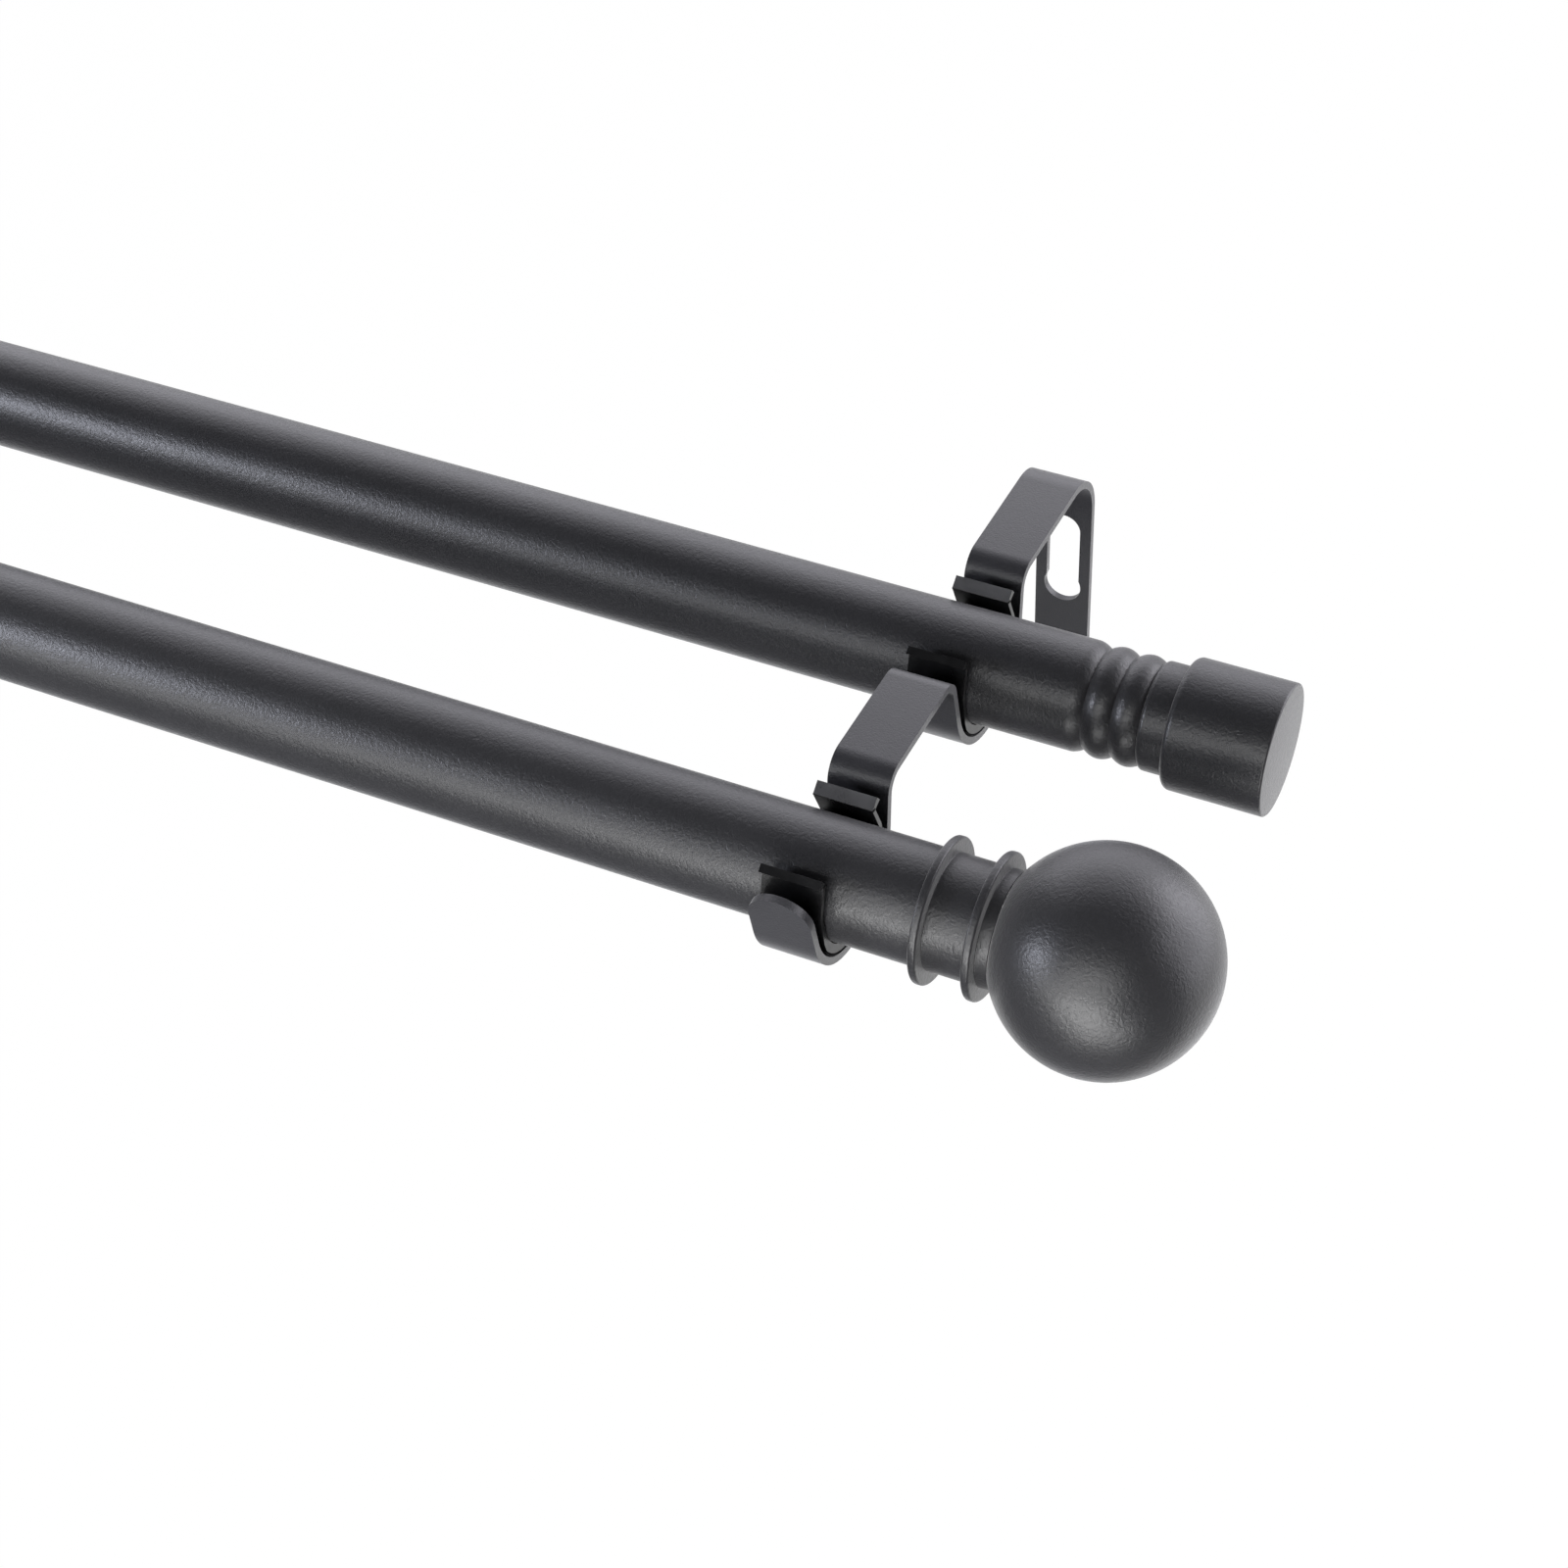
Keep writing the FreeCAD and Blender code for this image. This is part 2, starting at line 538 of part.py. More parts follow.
def ball(label, end):
    """Hollow ball with a flat seat for the neck and a boss for the stud."""
    outer = "Dims.ball_diameter / 2"
    inner = "(Dims.ball_diameter / 2 - Dims.ball_wall)"
    seat = "(-%s)" % SEAT_REACH
    boss = "Dims.boss_diameter / 2"
    shift = "(Dims.ball_diameter / 2)"
    floor = "(Dims.ball_wall - %s)" % SEAT_REACH
    floor_edge = "sqrt(%s ^ 2 - %s ^ 2)" % (inner, floor)
    corners = [
        (shift + " + " + seat, BORE_RADIUS),
        (shift + " + " + seat, NECK_RADIUS),
        (shift, outer, outer, 1),
        (shift + " + " + outer, "0", outer, 1),
        (shift + " + " + inner, "0"),
        (shift, inner, inner, -1),
        (shift + " + " + floor, floor_edge, inner, -1),
        (shift + " + " + floor, boss),
        (shift + " + " + seat + " + Dims.boss_length", boss),
        (shift + " + " + seat + " + Dims.boss_length", BORE_RADIUS),
    ]
    piece = turned(label, corners)
    stand_at(piece, end, "Dims.ball_offset - Dims.ball_diameter / 2", FRONT_AXIS)
    return piece


def rear_neck(label, end):
    """Turned neck with a plain shoulder, two beads between three grooves, and a waist."""
    crest = POLE_RADIUS
    groove = "(%s - Dims.groove_depth)" % POLE_RADIUS
    waist = "(%s - Dims.waist_step)" % POLE_RADIUS
    first = "(Dims.spigot_length + Dims.first_groove)"
    fall = "(Dims.first_groove - Dims.shoulder_length)"
    shoulder_arc = "((%s ^ 2 + Dims.groove_depth ^ 2) / (2 * Dims.groove_depth))" % fall
    bead_arc = "(((Dims.bead_pitch / 2) ^ 2 + Dims.groove_depth ^ 2) / (2 * Dims.groove_depth))"
    rise = "(Dims.groove_depth - Dims.waist_step)"
    corners = spigot_corners() + [
        ("Dims.spigot_length", crest),
        ("Dims.spigot_length + Dims.shoulder_length", crest),
        (first, groove, shoulder_arc, 1),
    ]
    for number in range(1, 3):
        corners.append((first + " + Dims.bead_pitch * %d" % number, groove, bead_arc, 1))
    last = first + " + Dims.bead_pitch * 2"
    corners += [
        (last + " + " + rise, waist, rise, 1),
        (CAP_SEAT + " - Dims.seam_chamfer", waist),
        (CAP_SEAT, waist + " - Dims.seam_chamfer"),
    ]
    corners += bore_corners(CAP_SEAT)
    piece = turned(label, corners)
    stand_at(piece, end, "-Dims.spigot_length", REAR_AXIS)
    return piece


def end_cap(label, end):
    """Plain round cap with a well rounded back edge and a blind bore for the stud."""
    outer = "Dims.cap_diameter / 2"
    depth = "Dims.stud_grip + Dims.stud_end_room"
    corners = [
        (depth, "0"),
        (depth, BORE_RADIUS),
        ("0", BORE_RADIUS),
        ("0", outer + " - Dims.cap_back_radius"),
        ("Dims.cap_back_radius", outer, "Dims.cap_back_radius", 1),
        ("Dims.cap_length - Dims.cap_front_radius", outer),
        ("Dims.cap_length", outer + " - Dims.cap_front_radius", "Dims.cap_front_radius", 1),
        ("Dims.cap_length", "0"),
    ]
    piece = turned(label, corners)
    stand_at(piece, end, CAP_SEAT + " - Dims.spigot_length", REAR_AXIS)
    return piece


def stud(label, end, seat, axis):
    """Plain joining stud, held half in the neck and half in the ball or cap."""
    radius = "Dims.stud_diameter / 2"
    length = "Dims.stud_grip * 2"
    corners = [("0", "0"), ("0", radius), (length, radius), (length, "0")]
    piece = turned(label, corners)
    stand_at(piece, end, "%s - Dims.spigot_length - Dims.stud_grip" % seat, axis)
    return piece


pole("rear_pole", REAR_AXIS)
pole("front_pole", FRONT_AXIS)
for side_name, pole_end in (("right", 1), ("left", -1)):
    bracket("bracket_" + side_name, pole_end)
    clip("rear_clip_" + side_name, pole_end, REAR_AXIS)
    clip("front_clip_" + side_name, pole_end, FRONT_AXIS)
    front_neck("front_neck_" + side_name, pole_end)
    ball("ball_" + side_name, pole_end)
    stud("ball_stud_" + side_name, pole_end, BALL_SEAT, FRONT_AXIS)
    rear_neck("rear_neck_" + side_name, pole_end)
    end_cap("end_cap_" + side_name, pole_end)
    stud("cap_stud_" + side_name, pole_end, CAP_SEAT, REAR_AXIS)

doc.recompute()

failed = [thing.Label for thing in doc.Objects if "Invalid" in thing.State or "Error" in thing.State]
if failed:
    raise RuntimeError("objects that did not compute: " + ", ".join(failed))

os.makedirs("parts", exist_ok=True)
for node in nodes:
    if node.Shape.isNull() or not node.Shape.isValid() or len(node.Shape.Solids) != 1:
        raise RuntimeError("not one valid solid: " + node.Label)
for node in nodes:
    node.Shape.exportStep("parts/%s.step" % node.Label)
    size = node.Shape.BoundBox
    print("%-20s %9.1f mm3  %7.1f %7.1f %7.1f  to %7.1f %7.1f %7.1f" % (
        node.Label, node.Shape.Volume, size.XMin, size.YMin, size.ZMin, size.XMax, size.YMax, size.ZMax))
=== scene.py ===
import bmesh
import bpy
import numpy as np
from bpy.props import FloatProperty, FloatVectorProperty, PointerProperty
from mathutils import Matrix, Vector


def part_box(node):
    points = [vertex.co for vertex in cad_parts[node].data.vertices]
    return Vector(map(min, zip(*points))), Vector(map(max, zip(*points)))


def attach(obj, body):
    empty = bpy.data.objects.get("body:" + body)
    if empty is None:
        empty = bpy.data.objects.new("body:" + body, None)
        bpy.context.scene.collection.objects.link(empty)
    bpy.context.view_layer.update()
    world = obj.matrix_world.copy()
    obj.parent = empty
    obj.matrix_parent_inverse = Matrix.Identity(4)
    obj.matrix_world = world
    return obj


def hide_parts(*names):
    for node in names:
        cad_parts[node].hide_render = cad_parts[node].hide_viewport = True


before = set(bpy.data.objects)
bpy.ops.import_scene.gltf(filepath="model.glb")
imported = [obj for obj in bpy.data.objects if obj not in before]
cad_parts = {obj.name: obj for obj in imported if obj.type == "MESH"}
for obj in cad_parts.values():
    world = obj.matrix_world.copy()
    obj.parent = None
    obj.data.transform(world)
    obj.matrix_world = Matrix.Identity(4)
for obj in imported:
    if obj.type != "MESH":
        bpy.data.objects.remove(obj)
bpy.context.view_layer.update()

bl_info = {
    "name": "Double curtain pole",
    "version": (1, 0, 0),
    "blender": (4, 5, 0),
    "location": "View3D > Sidebar > Curtain Pole",
    "description": "Builds a double curtain pole with folded brackets, clips and finials",
    "category": "Object",
}

# The frame gives the places: X runs along the poles, +Y points into the wall, +Z is up, in metres.

ENDS = (("right", 1.0), ("left", -1.0))


def axis_of(node):
    """Across-position and height of the axis of a turned node."""
    low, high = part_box(node)
    return (low[1] + high[1]) / 2, (low[2] + high[2]) / 2


REAR_AXIS = axis_of("rear_pole")
FRONT_AXIS = axis_of("front_pole")
POLE_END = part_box("rear_pole")[1][0]
BRACKET_AT = (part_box("bracket_right")[0][0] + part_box("bracket_right")[1][0]) / 2
PLATE_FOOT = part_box("bracket_right")[0][2]
ARM_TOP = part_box("bracket_right")[1][2]
BALL_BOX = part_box("ball_right")
CAP_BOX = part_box("end_cap_right")

# Fits and fillets that stay out of the panel, in metres.

SPIGOT_PLAY = 0.0001    # between a spigot and the inside of its pole
SPIGOT_LEAD = 0.0012    # rounding where a spigot enters its pole
FOOT_FILLET = 0.0002    # foot of a collar and outer edge of the rear waist
SEAM_FILLET = 0.0001    # edge between the rear neck's seam chamfer and its end face
LIP_CREASE = 0.0002     # radius of the crease under a clip's lip
MERGE_WITHIN = 1e-6     # points nearer than this are one point
SLIVER = 1e-7           # edges shorter than this are taken out
APART = 1e-4            # even rows of the strip stay this far from its first and last row

# Shares of a size.

POLE_EASE = 0.02        # eased edge of a pole's end, as a share of its wall
COLLAR_EASE = 0.3       # eased rim of a collar, as a share of its width
TIP_MARGIN = 0.15       # even strip before the tongue's curve, as a share of its half width
LIP_LEVEL = 0.8         # wall of a clip's lips, from 0 for the upper wall to 1 for the full wall
LIP_START = 0.05        # where the lips begin above the crease, as a share of the seat radius
LIP_LIGHT_FROM = 0.2       # where the painted light on the lips begins, as a share of the lips' rise

# Points on the surfaces.

POLE_RINGS = 49         # along a pole
STRIP_RAILS = 17        # across a bracket's strip
CLIP_RAILS = 5          # across a clip
TONGUE_ROWS = 7         # along the tongue's rounded tip


def length(name, description, default, least=0.0):
    """A size in metres for the panel."""
    return FloatProperty(name=name, description=description, default=default, min=least,
                         precision=5, unit="LENGTH")


def lean(name, description, default):
    """An angle, shown in degrees in the panel."""
    return FloatProperty(name=name, description=description, default=np.radians(default),
                         subtype="ANGLE")


def shade(name, description, default):
    """A linear colour for the panel."""
    return FloatVectorProperty(name=name, description=description, default=default, size=3,
                               min=0.0, max=1.0, subtype="COLOR")


class PoleSizes(bpy.types.PropertyGroup):
    diameter: length("Pole diameter", "Outside diameter of both poles", 0.028, 0.01)
    wall: length("Pole wall", "Wall of the pole tube", 0.001)
    reach: length("Pole end", "Middle of the run to the end of each pole", POLE_END)
    spigot: length("Spigot length", "Part of each finial that goes into its pole", 0.024)
    bore: length("Stud bore", "Diameter of the bores for the joining studs", 0.0081)
    bore_depth: length("Bore depth", "Depth of each stud bore", 0.0123)


class BracketSizes(bpy.types.PropertyGroup):
    width: length("Strip width", "Width of the folded strip", 0.0154, 0.005)
    thickness: length("Strip thickness", "Thickness of the folded strip", 0.002)
    plate_bend: length("Plate bend", "Outside radius at the top of the wall plate", 0.0152)
    arm_bend: length("Arm bend", "Outside radius where an arm turns down", 0.0066)
    cradle: length("Cradle radius", "Inside radius of each cradle", 0.0188)
    cradle_lift: length("Cradle lift", "Cradle centre above the pole axis", 0.0019)
    rear_lean: lean("Wall side lean", "Outward lean of the wall side of a cradle", 5.6)
    front_lean: lean("Room side lean", "Outward lean of the room side of a cradle", 12.0)
    tongue: length("Tongue rise", "Rounded tip of the front cradle above the pole axis", 0.0132)
    slot_length: length("Slot length", "Height of the fixing slot", 0.0288)
    slot_width: length("Slot width", "Width of the upper run of the slot", 0.0092)
    slot_foot: length("Slot foot", "Diameter of the wider foot of the slot", 0.0104)
    edge: length("Edge rounding", "Rounding of the cut edges", 0.00045)


class ClipSizes(bpy.types.PropertyGroup):
    width: length("Clip width", "Width along the pole", 0.015, 0.004)
    wall: length("Clip wall", "Wall of the clip", 0.0023)
    seat: length("Seat radius", "Inside radius under the pole", 0.0143)
    lower_lean: lean("Lower lean", "Outward lean of the lower walls", 15.0)
    belly: length("Belly height", "Where the walls turn inward, above the pole axis", 0.003)
    belly_radius: length("Belly radius", "Inside radius of that turn", 0.005)
    throat: length("Throat height", "Crease under the lips, above the pole axis", 0.0121)
    rear_pinch: lean("Wall side pinch", "Inward lean of the wall side upper wall", 23.5)
    front_pinch: lean("Room side pinch", "Inward lean of the room side upper wall", 14.0)
    lip_rise: length("Lip rise", "Height of the lips above the crease", 0.0021)
    rear_flare: lean("Wall side flare", "Outward lean of the wall side lip", 52.0)
    front_flare: lean("Room side flare", "Outward lean of the room side lip", 36.0)
    edge: length("Edge rounding", "Rounding of the moulded edges", 0.0003)
    upper: FloatProperty(name="Upper wall", default=0.5, min=0.2, max=1.0,
                         description="Wall beside the pole as a share of the wall below it")


class FinialSizes(bpy.types.PropertyGroup):
    neck: length("Neck diameter", "Diameter of the front neck", 0.0279)
    collar: length("Collar diameter", "Diameter of the two thin collars", 0.035)
    collar_width: length("Collar width", "Width of a collar", 0.002)
    collar_start: length("First collar", "Pole end to the first collar", 0.003)
    collar_pitch: length("Collar pitch", "First collar to second collar", 0.01275)
    ball: length("Ball diameter", "Diameter of the ball", BALL_BOX[1][1] - BALL_BOX[0][1], 0.03)
    ball_wall: length("Ball wall", "Wall of the hollow ball", 0.0016)
    boss: length("Boss diameter", "Boss for the stud inside the ball", 0.016)
    boss_length: length("Boss length", "Length of that boss", 0.015)
    shoulder: length("Shoulder", "Plain shoulder beside the rear pole", 0.0071)
    first_groove: length("First groove", "Pole end to the first groove", 0.0107)
    bead_pitch: length("Bead pitch", "Groove to groove", 0.0072)
    groove: length("Groove depth", "Depth of the grooves below the pole surface", 0.00145)
    waist_step: length("Waist step", "How far the waist stays below the pole surface", 0.00025)
    cap: length("Cap diameter", "Diameter of the rear end cap", CAP_BOX[1][1] - CAP_BOX[0][1], 0.03)
    cap_back: length("Cap back edge", "Rounding of the cap's back edge", 0.0018)
    cap_front: length("Cap outer edge", "Rounding of the cap's outer edge", 0.0006)
    seam: length("Seam chamfer", "Chamfer where two turned pieces meet", 0.0002)


class Finishes(bpy.types.PropertyGroup):
    coat: shade("Pole coat", "Charcoal coat of poles and finials", (0.0155, 0.0155, 0.0172))
    strip: shade("Bracket coat", "Powder coat of the brackets", (0.022, 0.022, 0.025))
    plastic: shade("Clip plastic", "Black plastic of the clips", (0.004, 0.004, 0.0043))
    # Painted light: lighter plastic on the inner faces of the clips' lips, where they catch the
    # light
    lip_painted_light: shade("Rubbed plastic", "Clip plastic rubbed dull in the lips", (0.065, 0.065, 0.067))
    steel: shade("Stud steel", "Zinc plated steel of the joining studs", (0.52, 0.52, 0.50))
    peel_size: length("Peel size", "Size of the dimples in the powder coat", 0.0009)
    peel_depth: length("Peel depth", "Depth of the dimples in the powder coat", 0.0001)


class StageSettings(bpy.types.PropertyGroup):
    floor_drop: length("Floor drop", "Height of the poles above the floor", 0.9)
    lamp_level: FloatProperty(name="Lamp level", description="Strength of all lamps together",
                              default=1.0, min=0.0, max=5.0)
    world_level: FloatProperty(name="World level", description="Even light from all sides",
                               default=0.04, min=0.0, max=2.0)


# Surfaces: grids of points worked out as whole arrays.

def grid_faces(rows, columns, first):
    """Quads of a grid: point (i, j) has number first + i * columns + j."""
    i, j = np.meshgrid(np.arange(rows - 1), np.arange(columns - 1), indexing="ij")
    corner = first + i * columns + j
    quads = np.stack([corner, corner + 1, corner + columns + 1, corner + columns], axis=-1)
    return quads.reshape(-1, 4)


def surface_piece(name, grids, outward, crease=35.0):
    """Mesh from grids of points, each shaped (rows, columns, 3). Points in one place are merged,
    which closes seams and poles, and all faces turn to the side that outward names: it is a
    function from face centres and normals to numbers above zero where a face looks right."""
    points = []
    quads = []
    first = 0
    for grid in grids:
        rows, columns = grid.shape[:2]
        points.append(grid.reshape(-1, 3))
        quads.append(grid_faces(rows, columns, first))
        first += rows * columns
    mesh = bpy.data.meshes.new(name)
    mesh.from_pydata(np.concatenate(points).tolist(), [], np.concatenate(quads).tolist())
    shell = bmesh.new()
    shell.from_mesh(mesh)
    bmesh.ops.remove_doubles(shell, verts=shell.verts, dist=MERGE_WITHIN)
    bmesh.ops.dissolve_degenerate(shell, edges=shell.edges, dist=SLIVER)
    bmesh.ops.recalc_face_normals(shell, faces=shell.faces)
    shell.to_mesh(mesh)
    shell.free()
    centres = np.empty(len(mesh.polygons) * 3)
    normals = np.empty(len(mesh.polygons) * 3)
    mesh.polygons.foreach_get("center", centres)
    mesh.polygons.foreach_get("normal", normals)
    if outward(centres.reshape(-1, 3), normals.reshape(-1, 3)) < 0:
        mesh.flip_normals()
    mesh.shade_smooth()
    mesh.set_sharp_from_angle(angle=np.radians(crease))
    piece = bpy.data.objects.new(name, mesh)
    bpy.context.scene.collection.objects.link(piece)
    return piece


def looks_outward(centres, normals):
    """Above zero where a closed shell's faces look outwards: the face of the furthest point
    along X looks along X."""
    outermost = np.argmax(centres[:, 0])
    return normals[outermost, 0]


def rounded(corners, turn_step=np.radians(7.5)):
    """Closed section from corners (x, r, radius): a corner with turn a and radius q becomes an
    arc that starts q * tan(a / 2) before it and ends as far after it."""
    table = np.asarray(corners, dtype=float)
    here = table[:, :2]
    into = here - np.roll(here, 1, axis=0)
    out = np.roll(here, -1, axis=0) - here
    into /= np.linalg.norm(into, axis=1)[:, None]
    out /= np.linalg.norm(out, axis=1)[:, None]
    turn = np.arctan2(into[:, 0] * out[:, 1] - into[:, 1] * out[:, 0], np.sum(into * out, axis=1))
    pieces = []
    for point, start, angle, radius in zip(here, into, turn, table[:, 2]):
        if radius == 0:
            pieces.append(point[None, :])
            continue
        steps = max(2, int(np.ceil(abs(angle) / turn_step)))
        sweep = np.linspace(0, angle, steps + 1)
        side = np.sign(angle)
        left = np.array([-start[1], start[0]])
        begin = point - start * radius * np.tan(abs(angle) / 2)
        across = radius * np.sin(np.abs(sweep))[:, None] * start
        inward = side * radius * (1 - np.cos(sweep))[:, None] * left
        pieces.append(begin + across + inward)
    return np.concatenate(pieces)


def arc_points(centre, radius, start, finish, steps):
    """Points centre + radius * (cos a, sin a) for even angles a from start to finish."""
    angle = np.linspace(start, finish, steps + 1)
    return np.stack([centre[0] + radius * np.cos(angle),
                     centre[1] + radius * np.sin(angle)], axis=1)


def turned_piece(name, section, axis, end, segments=128):
    """Section of points (x, r) turned about an axis along X: each point becomes
    (end * x, axis y + r * cos v, axis z + r * sin v) for v once round."""
    angle = np.linspace(0, 2 * np.pi, segments + 1)
    closed = np.concatenate([section, section[:1]])
    along = np.broadcast_to(closed[:, :1], (len(closed), segments + 1))
    radius = closed[:, 1:]
    grid = np.stack([end * along, axis[0] + radius * np.cos(angle),
                     axis[1] + radius * np.sin(angle)], axis=-1)
    return surface_piece(name, [grid], looks_outward, crease=40.0)


def folded_line(corners, radii):
    """Line through corners (y, z) with tangent arcs of the given radii, as rows of
    (length, y, z, heading, curvature), runs and arcs by turns."""
    points = np.asarray(corners, dtype=float)
    steps = np.diff(points, axis=0)
    spans = np.linalg.norm(steps, axis=1)
    along = steps / spans[:, None]
    headings = np.arctan2(along[:, 1], along[:, 0])
    turns = (np.diff(headings) + np.pi) % (2 * np.pi) - np.pi
    radii = np.asarray(radii, dtype=float)
    cut = radii * np.tan(np.abs(turns) / 2)
    before = np.concatenate([[0.0], cut])
    after = np.concatenate([cut, [0.0]])
    runs = np.column_stack([spans - before - after, points[:-1] + along * before[:, None],
                            headings, np.zeros(len(spans))])
    arcs = np.column_stack([radii * np.abs(turns), points[1:-1] - along[:-1] * cut[:, None],
                            headings[:-1], np.sign(turns) / radii])
    rows = np.empty((len(runs) + len(arcs), 5))
    rows[0::2] = runs
    rows[1::2] = arcs
    return rows


def stations(rows, turn_step=np.radians(5.0)):
    """Distances that get a row of points: the ends of each run, and even steps on each arc."""
    begins = np.concatenate([[0.0], np.cumsum(rows[:, 0])])
    counts = np.maximum(1, np.ceil(np.abs(rows[:, 4] * rows[:, 0]) / turn_step)).astype(int)
    parts = [start + span * np.arange(count) / count
             for start, span, count in zip(begins, rows[:, 0], counts)]
    return np.concatenate(parts + [begins[-1:]])


def carried(rows, distance):
    """Places (y, z) at distances u along a folded line. On a run from p with heading a it is
    p + u (cos a, sin a); on an arc of curvature k it is
    p + ((sin(a + k u) - sin a) / k, (cos a - cos(a + k u)) / k)."""
    begins = np.concatenate([[0.0], np.cumsum(rows[:, 0])])
    which = np.clip(np.searchsorted(begins, distance, side="right") - 1, 0, len(rows) - 1)
    _, y, z, heading, bend = np.moveaxis(rows[which], -1, 0)
    past = distance - begins[which]
    straight = bend == 0
    divisor = np.where(straight, 1.0, bend)
    turned = heading + bend * past
    move_y = np.where(straight, past * np.cos(heading),
                      (np.sin(turned) - np.sin(heading)) / divisor)
    move_z = np.where(straight, past * np.sin(heading),
                      (np.cos(heading) - np.cos(turned)) / divisor)
    return y + move_y, z + move_z


def folded_sheet(name, rows, blanks, centre, thickness, edge):
    """Strip folded from flat blanks of points (distance s, across t): each point goes to
    (centre + t, y(s), z(s)) on the folded line, and the sheet gets its thickness on the left."""
    grids = []
    for blank in blanks:
        y, z = carried(rows, blank[..., 0])
        grids.append(np.stack([centre + blank[..., 1], y, z], axis=-1))
    heading = rows[0, 3]
    right = np.array([0.0, np.sin(heading), -np.cos(heading)])
    foot = np.array([centre, rows[0, 1], rows[0, 2]])

    def looks_right(centres, normals):
        """Above zero where the face nearest the foot looks to the right of the first run."""
        nearest = np.argmin(np.linalg.norm(centres - foot, axis=1))
        return normals[nearest] @ right

    piece = surface_piece(name, grids, looks_right)
    solid = piece.modifiers.new("Thickness", "SOLIDIFY")
    solid.thickness = thickness
    solid.offset = -1.0
    solid.use_even_offset = True
    soft = piece.modifiers.new("Edges", "BEVEL")
    soft.width = edge
    soft.segments = 2
    soft.limit_method = "ANGLE"
    soft.angle_limit = np.radians(50)
    soft.harden_normals = True
    return piece


# Finishes: node materials on object coordinates.

def new_material(name):
    """Node material with its nodes, links and main shader."""
    material = bpy.data.materials.new(name)
    material.use_nodes = True
    nodes = material.node_tree.nodes
    return material, nodes, material.node_tree.links, nodes["Principled BSDF"]


def noise(nodes, links, place, scale, detail=2.0, roughness=0.5, distortion=0.0):
    """Noise that fills space at a scale in cells per metre."""
    node = nodes.new("ShaderNodeTexNoise")
    node.inputs["Scale"].default_value = scale
    node.inputs["Detail"].default_value = detail
    node.inputs["Roughness"].default_value = roughness
    node.inputs["Distortion"].default_value = distortion
    links.new(place, node.inputs["Vector"])
    return node.outputs["Fac"]


def spread(nodes, links, value, low, high, start=0.3, finish=0.7):
    """Value from start to finish carried to low to high."""
    node = nodes.new("ShaderNodeMapRange")
    node.inputs["From Min"].default_value = start
    node.inputs["From Max"].default_value = finish
    node.inputs["To Min"].default_value = low
    node.inputs["To Max"].default_value = high
    links.new(value, node.inputs["Value"])
    return node.outputs["Result"]


def joined(nodes, links, operation, first, second):
    """Two values taken together by an arithmetic operation."""
    node = nodes.new("ShaderNodeMath")
    node.operation = operation
    links.new(first, node.inputs[0])
    links.new(second, node.inputs[1])
    return node.outputs[0]


def tinted(nodes, links, value, dark, light):
    """Colour between dark and light by a value from 0 to 1."""
    node = nodes.new("ShaderNodeMix")
    node.data_type = "RGBA"
    node.inputs["A"].default_value = (*dark, 1.0)
    node.inputs["B"].default_value = (*light, 1.0)
    links.new(value, node.inputs["Factor"])
    return node.outputs["Result"]


def scaled(colour, factor):
    """Colour made lighter or darker by a factor."""
    return tuple(min(1.0, channel * factor) for channel in colour)


def powder_coat(name, colour, peel_size, peel_depth, rough_low, rough_high):
    """Charcoal powder coat: soft orange peel with a finer grain in it, slight mottling of the
    colour and of the gloss."""
    material, nodes, links, shader = new_material(name)
    mottle_scale = 55.0
    grain_finer = 4.0
    grain_share = 0.12
    place = nodes.new("ShaderNodeTexCoord").outputs["Object"]
    mottle = noise(nodes, links, place, mottle_scale, detail=4.0)
    links.new(tinted(nodes, links, spread(nodes, links, mottle, 0.0, 1.0), scaled(colour, 0.90),
                     scaled(colour, 1.10)), shader.inputs["Base Color"])
    peel = noise(nodes, links, place, 1.0 / peel_size, detail=1.5, roughness=0.55,
                 distortion=0.6)
    links.new(spread(nodes, links, peel, rough_low, rough_high), shader.inputs["Roughness"])
    grain = noise(nodes, links, place, grain_finer / peel_size)
    low = nodes.new("ShaderNodeBump")
    low.inputs["Strength"].default_value = 1.0
    low.inputs["Distance"].default_value = peel_depth
    links.new(peel, low.inputs["Height"])
    high = nodes.new("ShaderNodeBump")
    high.inputs["Strength"].default_value = 1.0
    high.inputs["Distance"].default_value = peel_depth * grain_share
    links.new(grain, high.inputs["Height"])
    links.new(low.outputs["Normal"], high.inputs["Normal"])
    links.new(high.outputs["Normal"], shader.inputs["Normal"])
    shader.inputs["Sheen Weight"].default_value = 0.25
    shader.inputs["Sheen Roughness"].default_value = 0.4
    return material


def moulded_plastic(name, colour):
    """Plastic with a faint spark-eroded grain and slight flow marks in its colour and gloss."""
    material, nodes, links, shader = new_material(name)
    flow_scale = 160.0
    spark_scale = 5200.0
    spark_depth = 0.000008
    place = nodes.new("ShaderNodeTexCoord").outputs["Object"]
    flow = noise(nodes, links, place, flow_scale, detail=3.0, distortion=1.2)
    links.new(tinted(nodes, links, spread(nodes, links, flow, 0.0, 1.0), scaled(colour, 0.85),
                     scaled(colour, 1.15)), shader.inputs["Base Color"])
    links.new(spread(nodes, links, flow, 0.26, 0.36), shader.inputs["Roughness"])
    shader.inputs["Specular IOR Level"].default_value = 0.45
    bump = nodes.new("ShaderNodeBump")
    bump.inputs["Distance"].default_value = spark_depth
    links.new(noise(nodes, links, place, spark_scale), bump.inputs["Height"])
    links.new(bump.outputs["Normal"], shader.inputs["Normal"])
    return material


